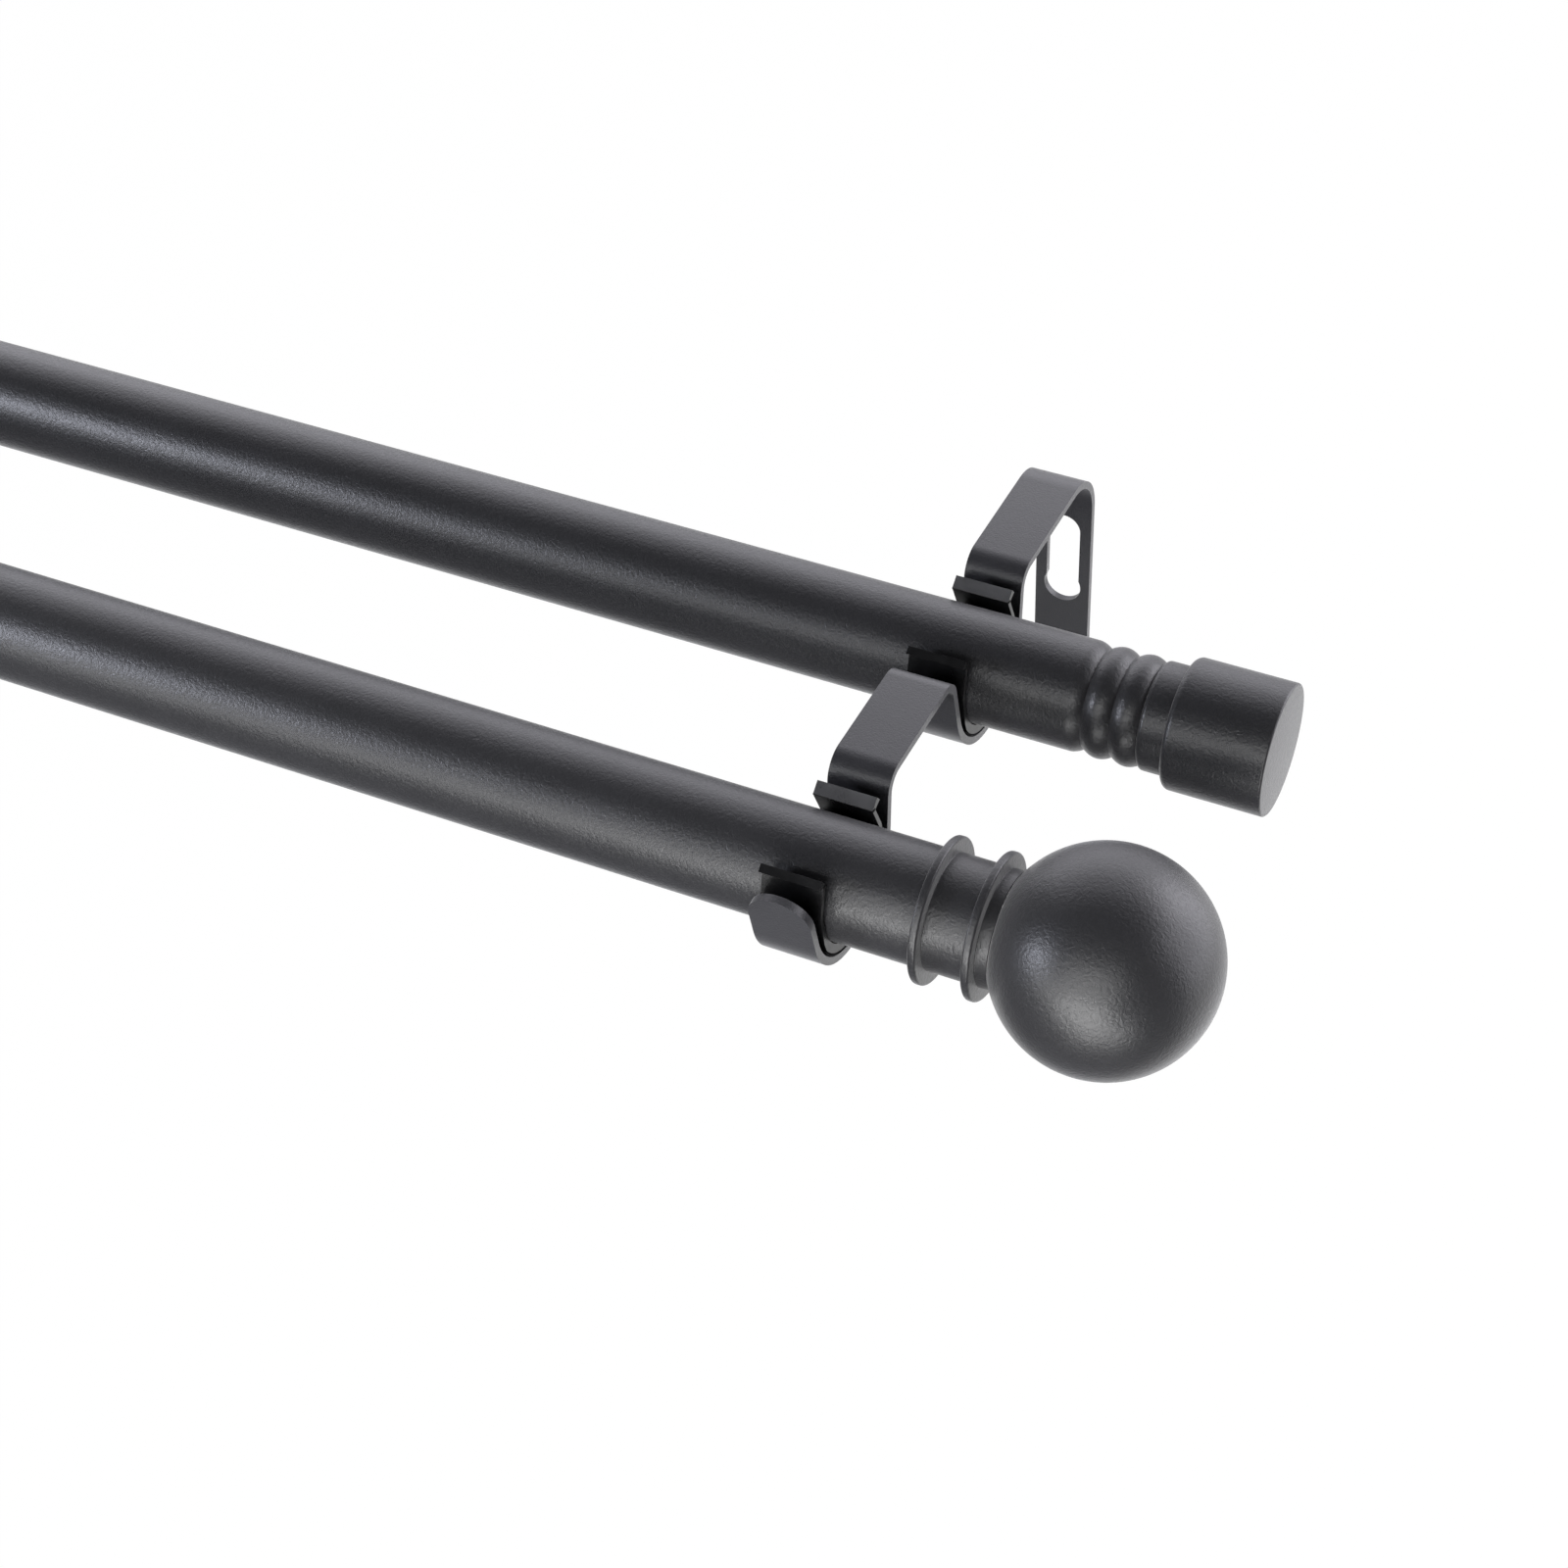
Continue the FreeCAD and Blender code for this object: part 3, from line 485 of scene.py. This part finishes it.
def plated_steel(name, colour):
    """Zinc plated steel with a fine spangle in its colour and gloss."""
    material, nodes, links, shader = new_material(name)
    place = nodes.new("ShaderNodeTexCoord").outputs["Object"]
    spangle_scale = 700.0
    spangle = noise(nodes, links, place, spangle_scale, detail=3.0)
    links.new(tinted(nodes, links, spread(nodes, links, spangle, 0.0, 1.0), scaled(colour, 0.85),
                     colour), shader.inputs["Base Color"])
    links.new(spread(nodes, links, spangle, 0.25, 0.4), shader.inputs["Roughness"])
    shader.inputs["Metallic"].default_value = 1.0
    return material


def finish(piece, material, slot, *nodes):
    """Give a new piece its material and its place in the model, and hide the nodes it stands for.
    """
    piece.data.materials.append(material)
    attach(piece, "root")
    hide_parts(*nodes)


def pole_coat(look):
    """Powder coat of the poles and finials, made once and shared."""
    name = "pole powder coat"
    known = bpy.data.materials.get(name)
    return known or powder_coat(name, look.coat, look.peel_size, look.peel_depth,
                                rough_low=0.35, rough_high=0.41)


class POLE_OT_poles(bpy.types.Operator):
    """Two plain tubes with slightly eased ends"""
    bl_idname = "curtain_pole.poles"
    bl_label = "Poles"

    def execute(self, context):
        size = context.scene.pole_sizes
        look = context.scene.finishes
        outer = size.diameter / 2
        inner = outer - size.wall
        half = size.reach
        ease = size.wall * POLE_EASE
        for name, axis in (("rear_pole", REAR_AXIS), ("front_pole", FRONT_AXIS)):
            run = np.linspace(-half, half, POLE_RINGS)[1:-1]
            section = np.concatenate([
                rounded([(-half, inner, 0), (-half, outer, ease), (0, outer, 0)])[:-1],
                np.stack([run, np.full_like(run, outer)], axis=1),
                rounded([(0, outer, 0), (half, outer, ease), (half, inner, 0)])[1:],
            ])
            piece = turned_piece(name + "_tube", section, axis, 1.0)
            finish(piece, pole_coat(look), "pole_coat", name)
        return {"FINISHED"}


class POLE_OT_front_finials(bpy.types.Operator):
    """Ball finials: a neck with two thin collars, and a hollow ball seated on it"""
    bl_idname = "curtain_pole.front_finials"
    bl_label = "Ball finials"

    def execute(self, context):
        pole = context.scene.pole_sizes
        size = context.scene.finial_sizes
        look = context.scene.finishes
        radius = size.ball / 2
        neck = size.neck / 2
        centre = BALL_BOX[1][0] - radius
        seat = centre - np.sqrt(radius ** 2 - neck ** 2)
        bore = pole.bore / 2
        spigot = pole.diameter / 2 - pole.wall - SPIGOT_PLAY
        start = pole.reach
        corners = [(start - pole.spigot, 0, 0), (start - pole.spigot, spigot, SPIGOT_LEAD),
                   (start, spigot, 0), (start, pole.diameter / 2, 0)]
        for number, before in enumerate((pole.diameter / 2, neck)):
            back = start + size.collar_start + size.collar_pitch * number
            front = back + size.collar_width
            rim = size.collar / 2
            ease = size.collar_width * COLLAR_EASE
            corners += [(back, before, FOOT_FILLET), (back, rim, ease), (front, rim, ease),
                        (front, neck, FOOT_FILLET)]
        corners += [(seat - size.seam, neck, 0), (seat, neck - size.seam, 0), (seat, bore, 0),
                    (seat - pole.bore_depth, bore, 0), (seat - pole.bore_depth, 0, 0)]
        neck_section = rounded(corners)

        edge = np.arcsin(neck / radius)
        outside = arc_points((centre, 0), radius, np.pi - edge, 0, steps=72)
        hollow = radius - size.ball_wall
        floor = seat + size.ball_wall
        opening = np.arccos((centre - floor) / hollow)
        inside = arc_points((centre, 0), hollow, 0, np.pi - opening, steps=32)
        boss = size.boss / 2
        mouth = seat + size.boss_length
        ball_section = np.concatenate([outside, inside,
                                       [(floor, boss), (mouth, boss), (mouth, bore), (seat, bore)]])
        for side, end in ENDS:
            piece = turned_piece("front_neck_%s_turned" % side, neck_section, FRONT_AXIS, end)
            finish(piece, pole_coat(look), "finial_coat", "front_neck_" + side)
            piece = turned_piece("ball_%s_turned" % side, ball_section, FRONT_AXIS, end)
            finish(piece, pole_coat(look), "finial_coat", "ball_" + side)
        return {"FINISHED"}


class POLE_OT_rear_finials(bpy.types.Operator):
    """End caps: a neck with two beads between three grooves, and a plain round cap"""
    bl_idname = "curtain_pole.rear_finials"
    bl_label = "End caps"

    def execute(self, context):
        pole = context.scene.pole_sizes
        size = context.scene.finial_sizes
        look = context.scene.finishes
        crest = pole.diameter / 2
        low = crest - size.groove
        bore = pole.bore / 2
        spigot = crest - pole.wall - SPIGOT_PLAY
        start = pole.reach
        seat = CAP_BOX[0][0]
        groove = start + size.first_groove
        waist = crest - size.waist_step

        def bead(left, steps=20):
            """Crest between two grooves: r = low + depth * (1 - c^2), c from -1 to 1."""
            c = np.linspace(-1, 1, steps + 1)
            return np.stack([left + (1 + c) * size.bead_pitch / 2,
                             low + size.groove * (1 - c ** 2)], axis=1)

        fall = size.first_groove - size.shoulder
        c = np.linspace(0, 1, 15)
        shoulder = np.stack([start + size.shoulder + fall * c, crest - size.groove * c ** 2],
                            axis=1)
        rise = waist - low
        last = groove + 2 * size.bead_pitch
        swell = arc_points((last + rise, low), rise, np.pi, np.pi / 2, steps=8)
        neck_section = np.concatenate([
            rounded([(start - pole.spigot, 0, 0), (start - pole.spigot, spigot, SPIGOT_LEAD),
                     (start, spigot, 0), (start, crest, 0),
                     (start + size.shoulder, crest, 0)])[:-1],
            shoulder,
            bead(groove)[1:],
            bead(groove + size.bead_pitch)[1:-1],
            swell,
            rounded([(last + rise, waist, 0), (seat - size.seam, waist, FOOT_FILLET),
                     (seat, waist - size.seam, SEAM_FILLET), (seat, bore, 0),
                     (seat - pole.bore_depth, bore, 0), (seat - pole.bore_depth, 0, 0)])[1:],
        ])
        outer = size.cap / 2
        face = CAP_BOX[1][0]
        cap_section = rounded([(seat + pole.bore_depth, 0, 0), (seat + pole.bore_depth, bore, 0),
                               (seat, bore, 0), (seat, outer, size.cap_back),
                               (face, outer, size.cap_front), (face, 0, 0)])
        for side, end in ENDS:
            piece = turned_piece("rear_neck_%s_turned" % side, neck_section, REAR_AXIS, end)
            finish(piece, pole_coat(look), "finial_coat", "rear_neck_" + side)
            piece = turned_piece("end_cap_%s_turned" % side, cap_section, REAR_AXIS, end)
            finish(piece, pole_coat(look), "finial_coat", "end_cap_" + side)
        return {"FINISHED"}


def slot_ring(size, foot, across):
    """Flat ring (distance s from the foot, across t) between the slot's outline and the plate's
    outline up to a straight top edge: both outlines go once round with the same number of
    points, and the ring runs straight from one to the other."""
    half = size.width / 2
    head_radius = size.slot_width / 2
    foot_radius = size.slot_foot / 2
    head = size.slot_length / 2 - head_radius - foot
    base = foot_radius - size.slot_length / 2 - foot
    top = head + half
    corner = np.arctan2(half, across[-1])
    upper = np.arctan2(half, across[::-1])
    side = np.linspace(0, corner, 5)[:-1]
    join = np.arccos(head_radius / foot_radius)
    meet = base + foot_radius * np.sin(join)
    turn = np.concatenate([side, upper, np.pi - side[::-1]])
    inner_top = np.stack([head + head_radius * np.sin(turn), head_radius * np.cos(turn)], axis=1)
    outer_top = np.concatenate([
        np.stack([head + half * np.tan(side), np.full_like(side, half)], axis=1),
        np.stack([np.full_like(across, top), across[::-1]], axis=1),
        np.stack([head + half * np.tan(side[::-1]), np.full_like(side, -half)], axis=1),
    ])
    drop = np.linspace(head, meet, 4)[1:-1]
    inner_left = np.stack([drop, np.full_like(drop, -head_radius)], axis=1)
    outer_left = np.stack([drop, np.full_like(drop, -half)], axis=1)
    down = np.linspace(meet, 0, 9)
    outer_foot = np.concatenate([
        np.stack([down, np.full_like(down, -half)], axis=1)[:-1],
        np.stack([np.zeros_like(across), across], axis=1),
        np.stack([down[::-1], np.full_like(down, half)], axis=1)[1:],
    ])
    swing = np.linspace(np.pi - join, 2 * np.pi + join, len(outer_foot))
    inner_foot = np.stack([base + foot_radius * np.sin(swing), foot_radius * np.cos(swing)], axis=1)
    inner_right = inner_left[::-1] * (1, -1)
    outer_right = outer_left[::-1] * (1, -1)
    inner = np.concatenate([inner_top, inner_left, inner_foot, inner_right, inner_top[:1]])
    outer = np.concatenate([outer_top, outer_left, outer_foot, outer_right, outer_top[:1]])
    blend = np.array([0.0, 0.12, 0.5, 1.0])[:, None, None]
    return inner + blend * (outer - inner), top


class POLE_OT_brackets(bpy.types.Operator):
    """Folded strip brackets: wall plate with its slot, two arms, two cradles, a rounded tongue"""
    bl_idname = "curtain_pole.brackets"
    bl_label = "Brackets"

    def execute(self, context):
        size = context.scene.bracket_sizes
        look = context.scene.finishes
        rise = REAR_AXIS[1]
        half = size.width / 2

        def leg(side, axis, height):
            """Corner on a cradle leg: the leg touches the cradle's circle and leans outward."""
            tilt = size.rear_lean if side > 0 else size.front_lean
            out = size.cradle + (height - size.cradle_lift) * np.sin(tilt)
            return axis[0] + side * out / np.cos(tilt), rise + height

        def below(axis):
            """Corner where the lines of a cradle's two legs meet."""
            depth = size.cradle * (1 / np.cos(size.rear_lean) + 1 / np.cos(size.front_lean))
            depth /= np.tan(size.rear_lean) + np.tan(size.front_lean)
            return leg(1, axis, size.cradle_lift - depth)

        arm = ARM_TOP - rise
        corners = [(0, PLATE_FOOT), (0, ARM_TOP), leg(1, REAR_AXIS, arm), below(REAR_AXIS),
                   leg(-1, REAR_AXIS, arm), leg(1, FRONT_AXIS, arm), below(FRONT_AXIS),
                   leg(-1, FRONT_AXIS, size.tongue)]
        bends = [size.plate_bend, size.arm_bend, size.cradle, size.arm_bend, size.arm_bend,
                 size.cradle]
        rows = folded_line(corners, bends)

        across = half * np.sin(np.linspace(-np.pi / 2, np.pi / 2, STRIP_RAILS))
        ring, top = slot_ring(size, PLATE_FOOT, across)
        total = rows[:, 0].sum()
        drop = half - np.sqrt(np.maximum(half ** 2 - across ** 2, 0))
        tip = total - drop / np.cos(size.front_lean)
        last = tip.min() - half * TIP_MARGIN
        marks = stations(rows)
        between = (marks > top + APART) & (marks < last - APART)
        marks = np.concatenate([[top], marks[between], [last]])
        strip = np.stack(np.broadcast_arrays(marks[:, None], across), axis=-1)
        share = np.linspace(0, 1, TONGUE_ROWS)[:, None]
        tongue = np.stack(np.broadcast_arrays(last + share * (tip - last), across), axis=-1)

        steel = powder_coat("bracket powder coat", look.strip, look.peel_size * 0.55,
                            look.peel_depth * 0.6, rough_low=0.32, rough_high=0.40)
        for side, end in ENDS:
            piece = folded_sheet("bracket_%s_strip" % side, rows, [ring, strip, tongue],
                                 end * BRACKET_AT, size.thickness, size.edge)
            finish(piece, steel, "bracket_coat", "bracket_" + side)
        return {"FINISHED"}


class POLE_OT_clips(bpy.types.Operator):
    """Plastic clips that hold the poles in the cradles, with pinched walls and flared lips"""
    bl_idname = "curtain_pole.clips"
    bl_label = "Clips"

    def execute(self, context):
        size = context.scene.clip_sizes
        look = context.scene.finishes
        wide = (size.seat + size.belly * np.sin(size.lower_lean)) / np.cos(size.lower_lean)
        climb = size.throat - size.belly
        tip = size.throat + size.lip_rise
        rear = wide - climb * np.tan(size.rear_pinch)
        front = wide - climb * np.tan(size.front_pinch)
        shape = np.array([
            (rear + size.lip_rise * np.tan(size.rear_flare), tip), (rear, size.throat),
            (wide, size.belly), (0, -size.seat / np.sin(size.lower_lean)), (-wide, size.belly),
            (-front, size.throat), (-front - size.lip_rise * np.tan(size.front_flare), tip),
        ])
        bends = [LIP_CREASE, size.belly_radius, size.seat, size.belly_radius, LIP_CREASE]
        across = np.linspace(-size.width / 2, size.width / 2, CLIP_RAILS)
        plastic = moulded_plastic("clip plastic", look.plastic)
        # second, lighter plastic: painted light on the inner faces of the lips
        lip_painted_light = moulded_plastic("clip plastic rubbed", look.lip_painted_light)

        def above_axis(items, key, axis):
            """Heights of a mesh's points or face centres over the pole axis."""
            places = np.empty(len(items) * 3)
            items.foreach_get(key, places)
            return places[2::3] - axis[1]

        def thin_above(piece, axis):
            """Wall share by height over the pole axis, in seat radii: full from half a radius
            below it, the upper share from the axis to the crease, tenths between, and nearly
            full on the lips."""
            height = above_axis(piece.data.vertices, "co", axis) / size.seat
            share = np.round(np.clip(-2 * height, 0, 1) * 10) / 10
            share[height > size.throat / size.seat + LIP_START] = LIP_LEVEL
            group = piece.vertex_groups.new(name="wall")
            for level in np.unique(share):
                chosen = np.flatnonzero(share == level).tolist()
                group.add(chosen, size.upper + (1 - size.upper) * level, "REPLACE")
            piece.modifiers["Thickness"].vertex_group = "wall"

        def paint_lip_light(piece, axis):
            """Painted light: a lighter second material on the inner faces above the crease, for the
            light
                    they catch, kept off the outer faces and the rims, which take the material one
                    slot lower."""
            height = above_axis(piece.data.polygons, "center", axis)
            on_lip = height > size.throat + size.lip_rise * LIP_LIGHT_FROM
            piece.data.materials.append(lip_painted_light)
            piece.data.polygons.foreach_set("material_index", on_lip.astype(np.int32))
            piece.modifiers["Thickness"].material_offset = -1
            piece.modifiers["Thickness"].material_offset_rim = -1

        for place, axis in (("rear", REAR_AXIS), ("front", FRONT_AXIS)):
            rows = folded_line(shape + axis, bends)
            marks = stations(rows)
            blank = np.stack(np.broadcast_arrays(marks[:, None], across), axis=-1)
            for side, end in ENDS:
                name = "%s_clip_%s" % (place, side)
                piece = folded_sheet(name + "_moulding", rows, [blank], end * BRACKET_AT,
                                     size.wall, size.edge)
                thin_above(piece, axis)
                finish(piece, plastic, "clip_plastic", name)
                paint_lip_light(piece, axis)
        return {"FINISHED"}


class POLE_OT_studs(bpy.types.Operator):
    """Plated finish for the joining studs inside the finials"""
    bl_idname = "curtain_pole.studs"
    bl_label = "Joining studs"

    def execute(self, context):
        steel = plated_steel("stud zinc", context.scene.finishes.steel)
        for name in ("ball_stud", "cap_stud"):
            for side, _ in ENDS:
                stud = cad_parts["%s_%s" % (name, side)]
                for slot in stud.material_slots:
                    slot.material = steel
        return {"FINISHED"}


# Studio. Lamps are (name, place, width, height, watts, colour), all turned to one place.

LAMP_TARGET = (0.6, -0.1, 0.02)
NEUTRAL = (1.0, 1.0, 1.0)
COOL = (0.94, 0.93, 1.0)
BLUISH = (0.85, 0.88, 1.0)
LAMPS = (
    ("lamp left", (-0.48, -0.92, 0.42), 0.35, 0.35, 8.8, BLUISH),
    ("lamp front", (0.65, -1.45, -0.11), 1.0, 0.45, 15.0, NEUTRAL),
    ("lamp front left", (-0.22, -1.45, 0.10), 0.8, 0.45, 4.6, NEUTRAL),
    ("lamp front low", (1.0, -1.3, -0.55), 1.0, 0.4, 9.0, NEUTRAL),
    ("lamp front high", (0.70, -1.30, 0.55), 1.2, 0.6, 8.8, NEUTRAL),
    ("lamp behind low", (0.3, 3.0, 0.5), 9.0, 1.1, 48.0, COOL),
    ("lamp behind", (0.3, 3.0, 1.9), 9.0, 1.7, 118.0, COOL),
    ("lamp behind high", (0.3, 2.0, 3.2), 9.0, 1.7, 66.0, COOL),
    ("lamp right", (1.9, 0.9, 0.45), 2.2, 1.8, 36.0, COOL),
)
FLOOR_HALF = 6.0          # half the side of the floor, in metres
WHITE_BAND = 0.12         # reflections see the floor turn from black to white from -Y to +Y
GLOW_SHARE = 0.99         # the rest of the floor's look keeps the object's shadow
CAMERA_PLACE = (0.77711, -0.54612, 0.46372)
CAMERA_TURN = np.radians((46.667, 0.0, 23.108))
CAMERA_LENS = 63.257      # millimetres, on a sensor 36 wide
CAMERA_SHIFT = -0.1134


def soft_lamp(name, place, target, width, height, power, colour):
    """Rectangular lamp that faces a target: its back points from target to place, its width
    lies level, and its height completes the right angle."""
    data = bpy.data.lights.new(name, "AREA")
    data.shape = "RECTANGLE"
    data.size = width
    data.size_y = height
    data.energy = power
    data.color = colour
    lamp = bpy.data.objects.new(name, data)
    back = np.subtract(place, target)
    back = back / np.linalg.norm(back)
    across = np.cross((0.0, 0.0, 1.0), back)
    across = across / np.linalg.norm(across)
    upward = np.cross(back, across)
    matrix = np.eye(4)
    matrix[:3, 0] = across
    matrix[:3, 1] = upward
    matrix[:3, 2] = back
    matrix[:3, 3] = place
    lamp.matrix_world = matrix.T.tolist()    # Blender takes it column by column
    bpy.context.scene.collection.objects.link(lamp)


class POLE_OT_stage(bpy.types.Operator):
    """Pale floor, soft lamps, even world light and the camera"""
    bl_idname = "curtain_pole.stage"
    bl_label = "Stage"

    def execute(self, context):
        scene = context.scene
        stage = scene.stage_settings
        self.add_floor(stage)
        self.add_world(scene, stage)
        self.add_lamps(stage)
        self.add_camera(scene)
        scene.view_settings.view_transform = "Standard"
        return {"FINISHED"}

    def add_floor(self, stage):
        """Flat floor, white to the camera, and to reflections on the wall side of the poles,
        with a trace of the object's shadow kept."""
        side = np.linspace(-FLOOR_HALF, FLOOR_HALF, 3)
        x, y = np.meshgrid(side, side, indexing="ij")
        points = np.stack([x, y, np.full_like(x, -stage.floor_drop)], axis=-1).reshape(-1, 3)
        mesh = bpy.data.meshes.new("floor")
        mesh.from_pydata(points.tolist(), [], grid_faces(3, 3, 0)[:, ::-1].tolist())
        floor = bpy.data.objects.new("floor", mesh)
        bpy.context.scene.collection.objects.link(floor)
        material, nodes, links, shader = new_material("floor white")
        shader.inputs["Base Color"].default_value = (0.80, 0.80, 0.80, 1.0)
        shader.inputs["Roughness"].default_value = 0.9
        rays = nodes.new("ShaderNodeLightPath")
        glow = nodes.new("ShaderNodeEmission")
        mix = nodes.new("ShaderNodeMixShader")
        across = nodes.new("ShaderNodeSeparateXYZ")
        links.new(nodes.new("ShaderNodeTexCoord").outputs["Object"], across.inputs[0])
        far = spread(nodes, links, across.outputs["Y"], 0.0, 1.0, -WHITE_BAND, WHITE_BAND)
        links.new(joined(nodes, links, "MAXIMUM", far, rays.outputs["Is Camera Ray"]),
                  glow.inputs["Strength"])
        seen = joined(nodes, links, "MAXIMUM", rays.outputs["Is Camera Ray"],
                      rays.outputs["Is Glossy Ray"])
        share = nodes.new("ShaderNodeMath")
        share.operation = "MULTIPLY"
        share.inputs[1].default_value = GLOW_SHARE
        links.new(seen, share.inputs[0])
        links.new(share.outputs[0], mix.inputs[0])
        links.new(shader.outputs[0], mix.inputs[1])
        links.new(glow.outputs[0], mix.inputs[2])
        links.new(mix.outputs[0], nodes["Material Output"].inputs["Surface"])
        floor.data.materials.append(material)

    def add_world(self, scene, stage):
        """White to the camera, an even grey light to everything else."""
        world = bpy.data.worlds.new("studio")
        world.use_nodes = True
        nodes = world.node_tree.nodes
        links = world.node_tree.links
        light = nodes["Background"]
        light.inputs["Color"].default_value = (1.0, 1.0, 1.0, 1.0)
        light.inputs["Strength"].default_value = stage.world_level
        seen = nodes.new("ShaderNodeBackground")
        seen.inputs["Color"].default_value = (1.0, 1.0, 1.0, 1.0)
        rays = nodes.new("ShaderNodeLightPath")
        mix = nodes.new("ShaderNodeMixShader")
        links.new(rays.outputs["Is Camera Ray"], mix.inputs[0])
        links.new(light.outputs[0], mix.inputs[1])
        links.new(seen.outputs[0], mix.inputs[2])
        links.new(mix.outputs[0], nodes["World Output"].inputs["Surface"])
        scene.world = world

    def add_lamps(self, stage):
        """All lamps, at the level set in the panel."""
        for name, place, width, height, power, colour in LAMPS:
            soft_lamp(name, place, LAMP_TARGET, width, height, power * stage.lamp_level, colour)

    def add_camera(self, scene):
        """Camera at the photograph's angle."""
        data = bpy.data.cameras.new("camera")
        data.sensor_width = 36.0
        data.lens = CAMERA_LENS
        data.shift_x = CAMERA_SHIFT
        data.clip_start = 0.01
        data.clip_end = 50.0
        camera = bpy.data.objects.new("camera", data)
        camera.location = CAMERA_PLACE
        camera.rotation_euler = CAMERA_TURN
        scene.collection.objects.link(camera)
        scene.camera = camera


STEPS = (POLE_OT_poles, POLE_OT_front_finials, POLE_OT_rear_finials, POLE_OT_brackets,
         POLE_OT_clips, POLE_OT_studs, POLE_OT_stage)
GROUPS = (("pole_sizes", PoleSizes), ("bracket_sizes", BracketSizes), ("clip_sizes", ClipSizes),
          ("finial_sizes", FinialSizes), ("finishes", Finishes), ("stage_settings", StageSettings))


class POLE_PT_sidebar(bpy.types.Panel):
    """Sizes, finishes and steps of the double curtain pole"""
    bl_idname = "POLE_PT_sidebar"
    bl_label = "Double curtain pole"
    bl_space_type = "VIEW_3D"
    bl_region_type = "UI"
    bl_category = "Curtain Pole"

    def draw(self, context):
        for name, group in GROUPS:
            box = self.layout.box()
            box.label(text=name.replace("_", " ").capitalize())
            for key in group.__annotations__:
                box.prop(getattr(context.scene, name), key)
        for step in STEPS:
            self.layout.operator(step.bl_idname)


def register():
    """Make the settings, the steps and the panel known to Blender."""
    for name, group in GROUPS:
        bpy.utils.register_class(group)
        setattr(bpy.types.Scene, name, PointerProperty(type=group))
    for kind in STEPS + (POLE_PT_sidebar,):
        bpy.utils.register_class(kind)


def unregister():
    """Take them out again, the last one first."""
    for kind in reversed(STEPS + (POLE_PT_sidebar,)):
        bpy.utils.unregister_class(kind)
    for name, group in reversed(GROUPS):
        delattr(bpy.types.Scene, name)
        bpy.utils.unregister_class(group)


def main():
    register()
    bpy.ops.curtain_pole.poles()
    bpy.ops.curtain_pole.front_finials()
    bpy.ops.curtain_pole.rear_finials()
    bpy.ops.curtain_pole.brackets()
    bpy.ops.curtain_pole.clips()
    bpy.ops.curtain_pole.studs()
    bpy.ops.curtain_pole.stage()


if __name__ == "__main__":
    main()
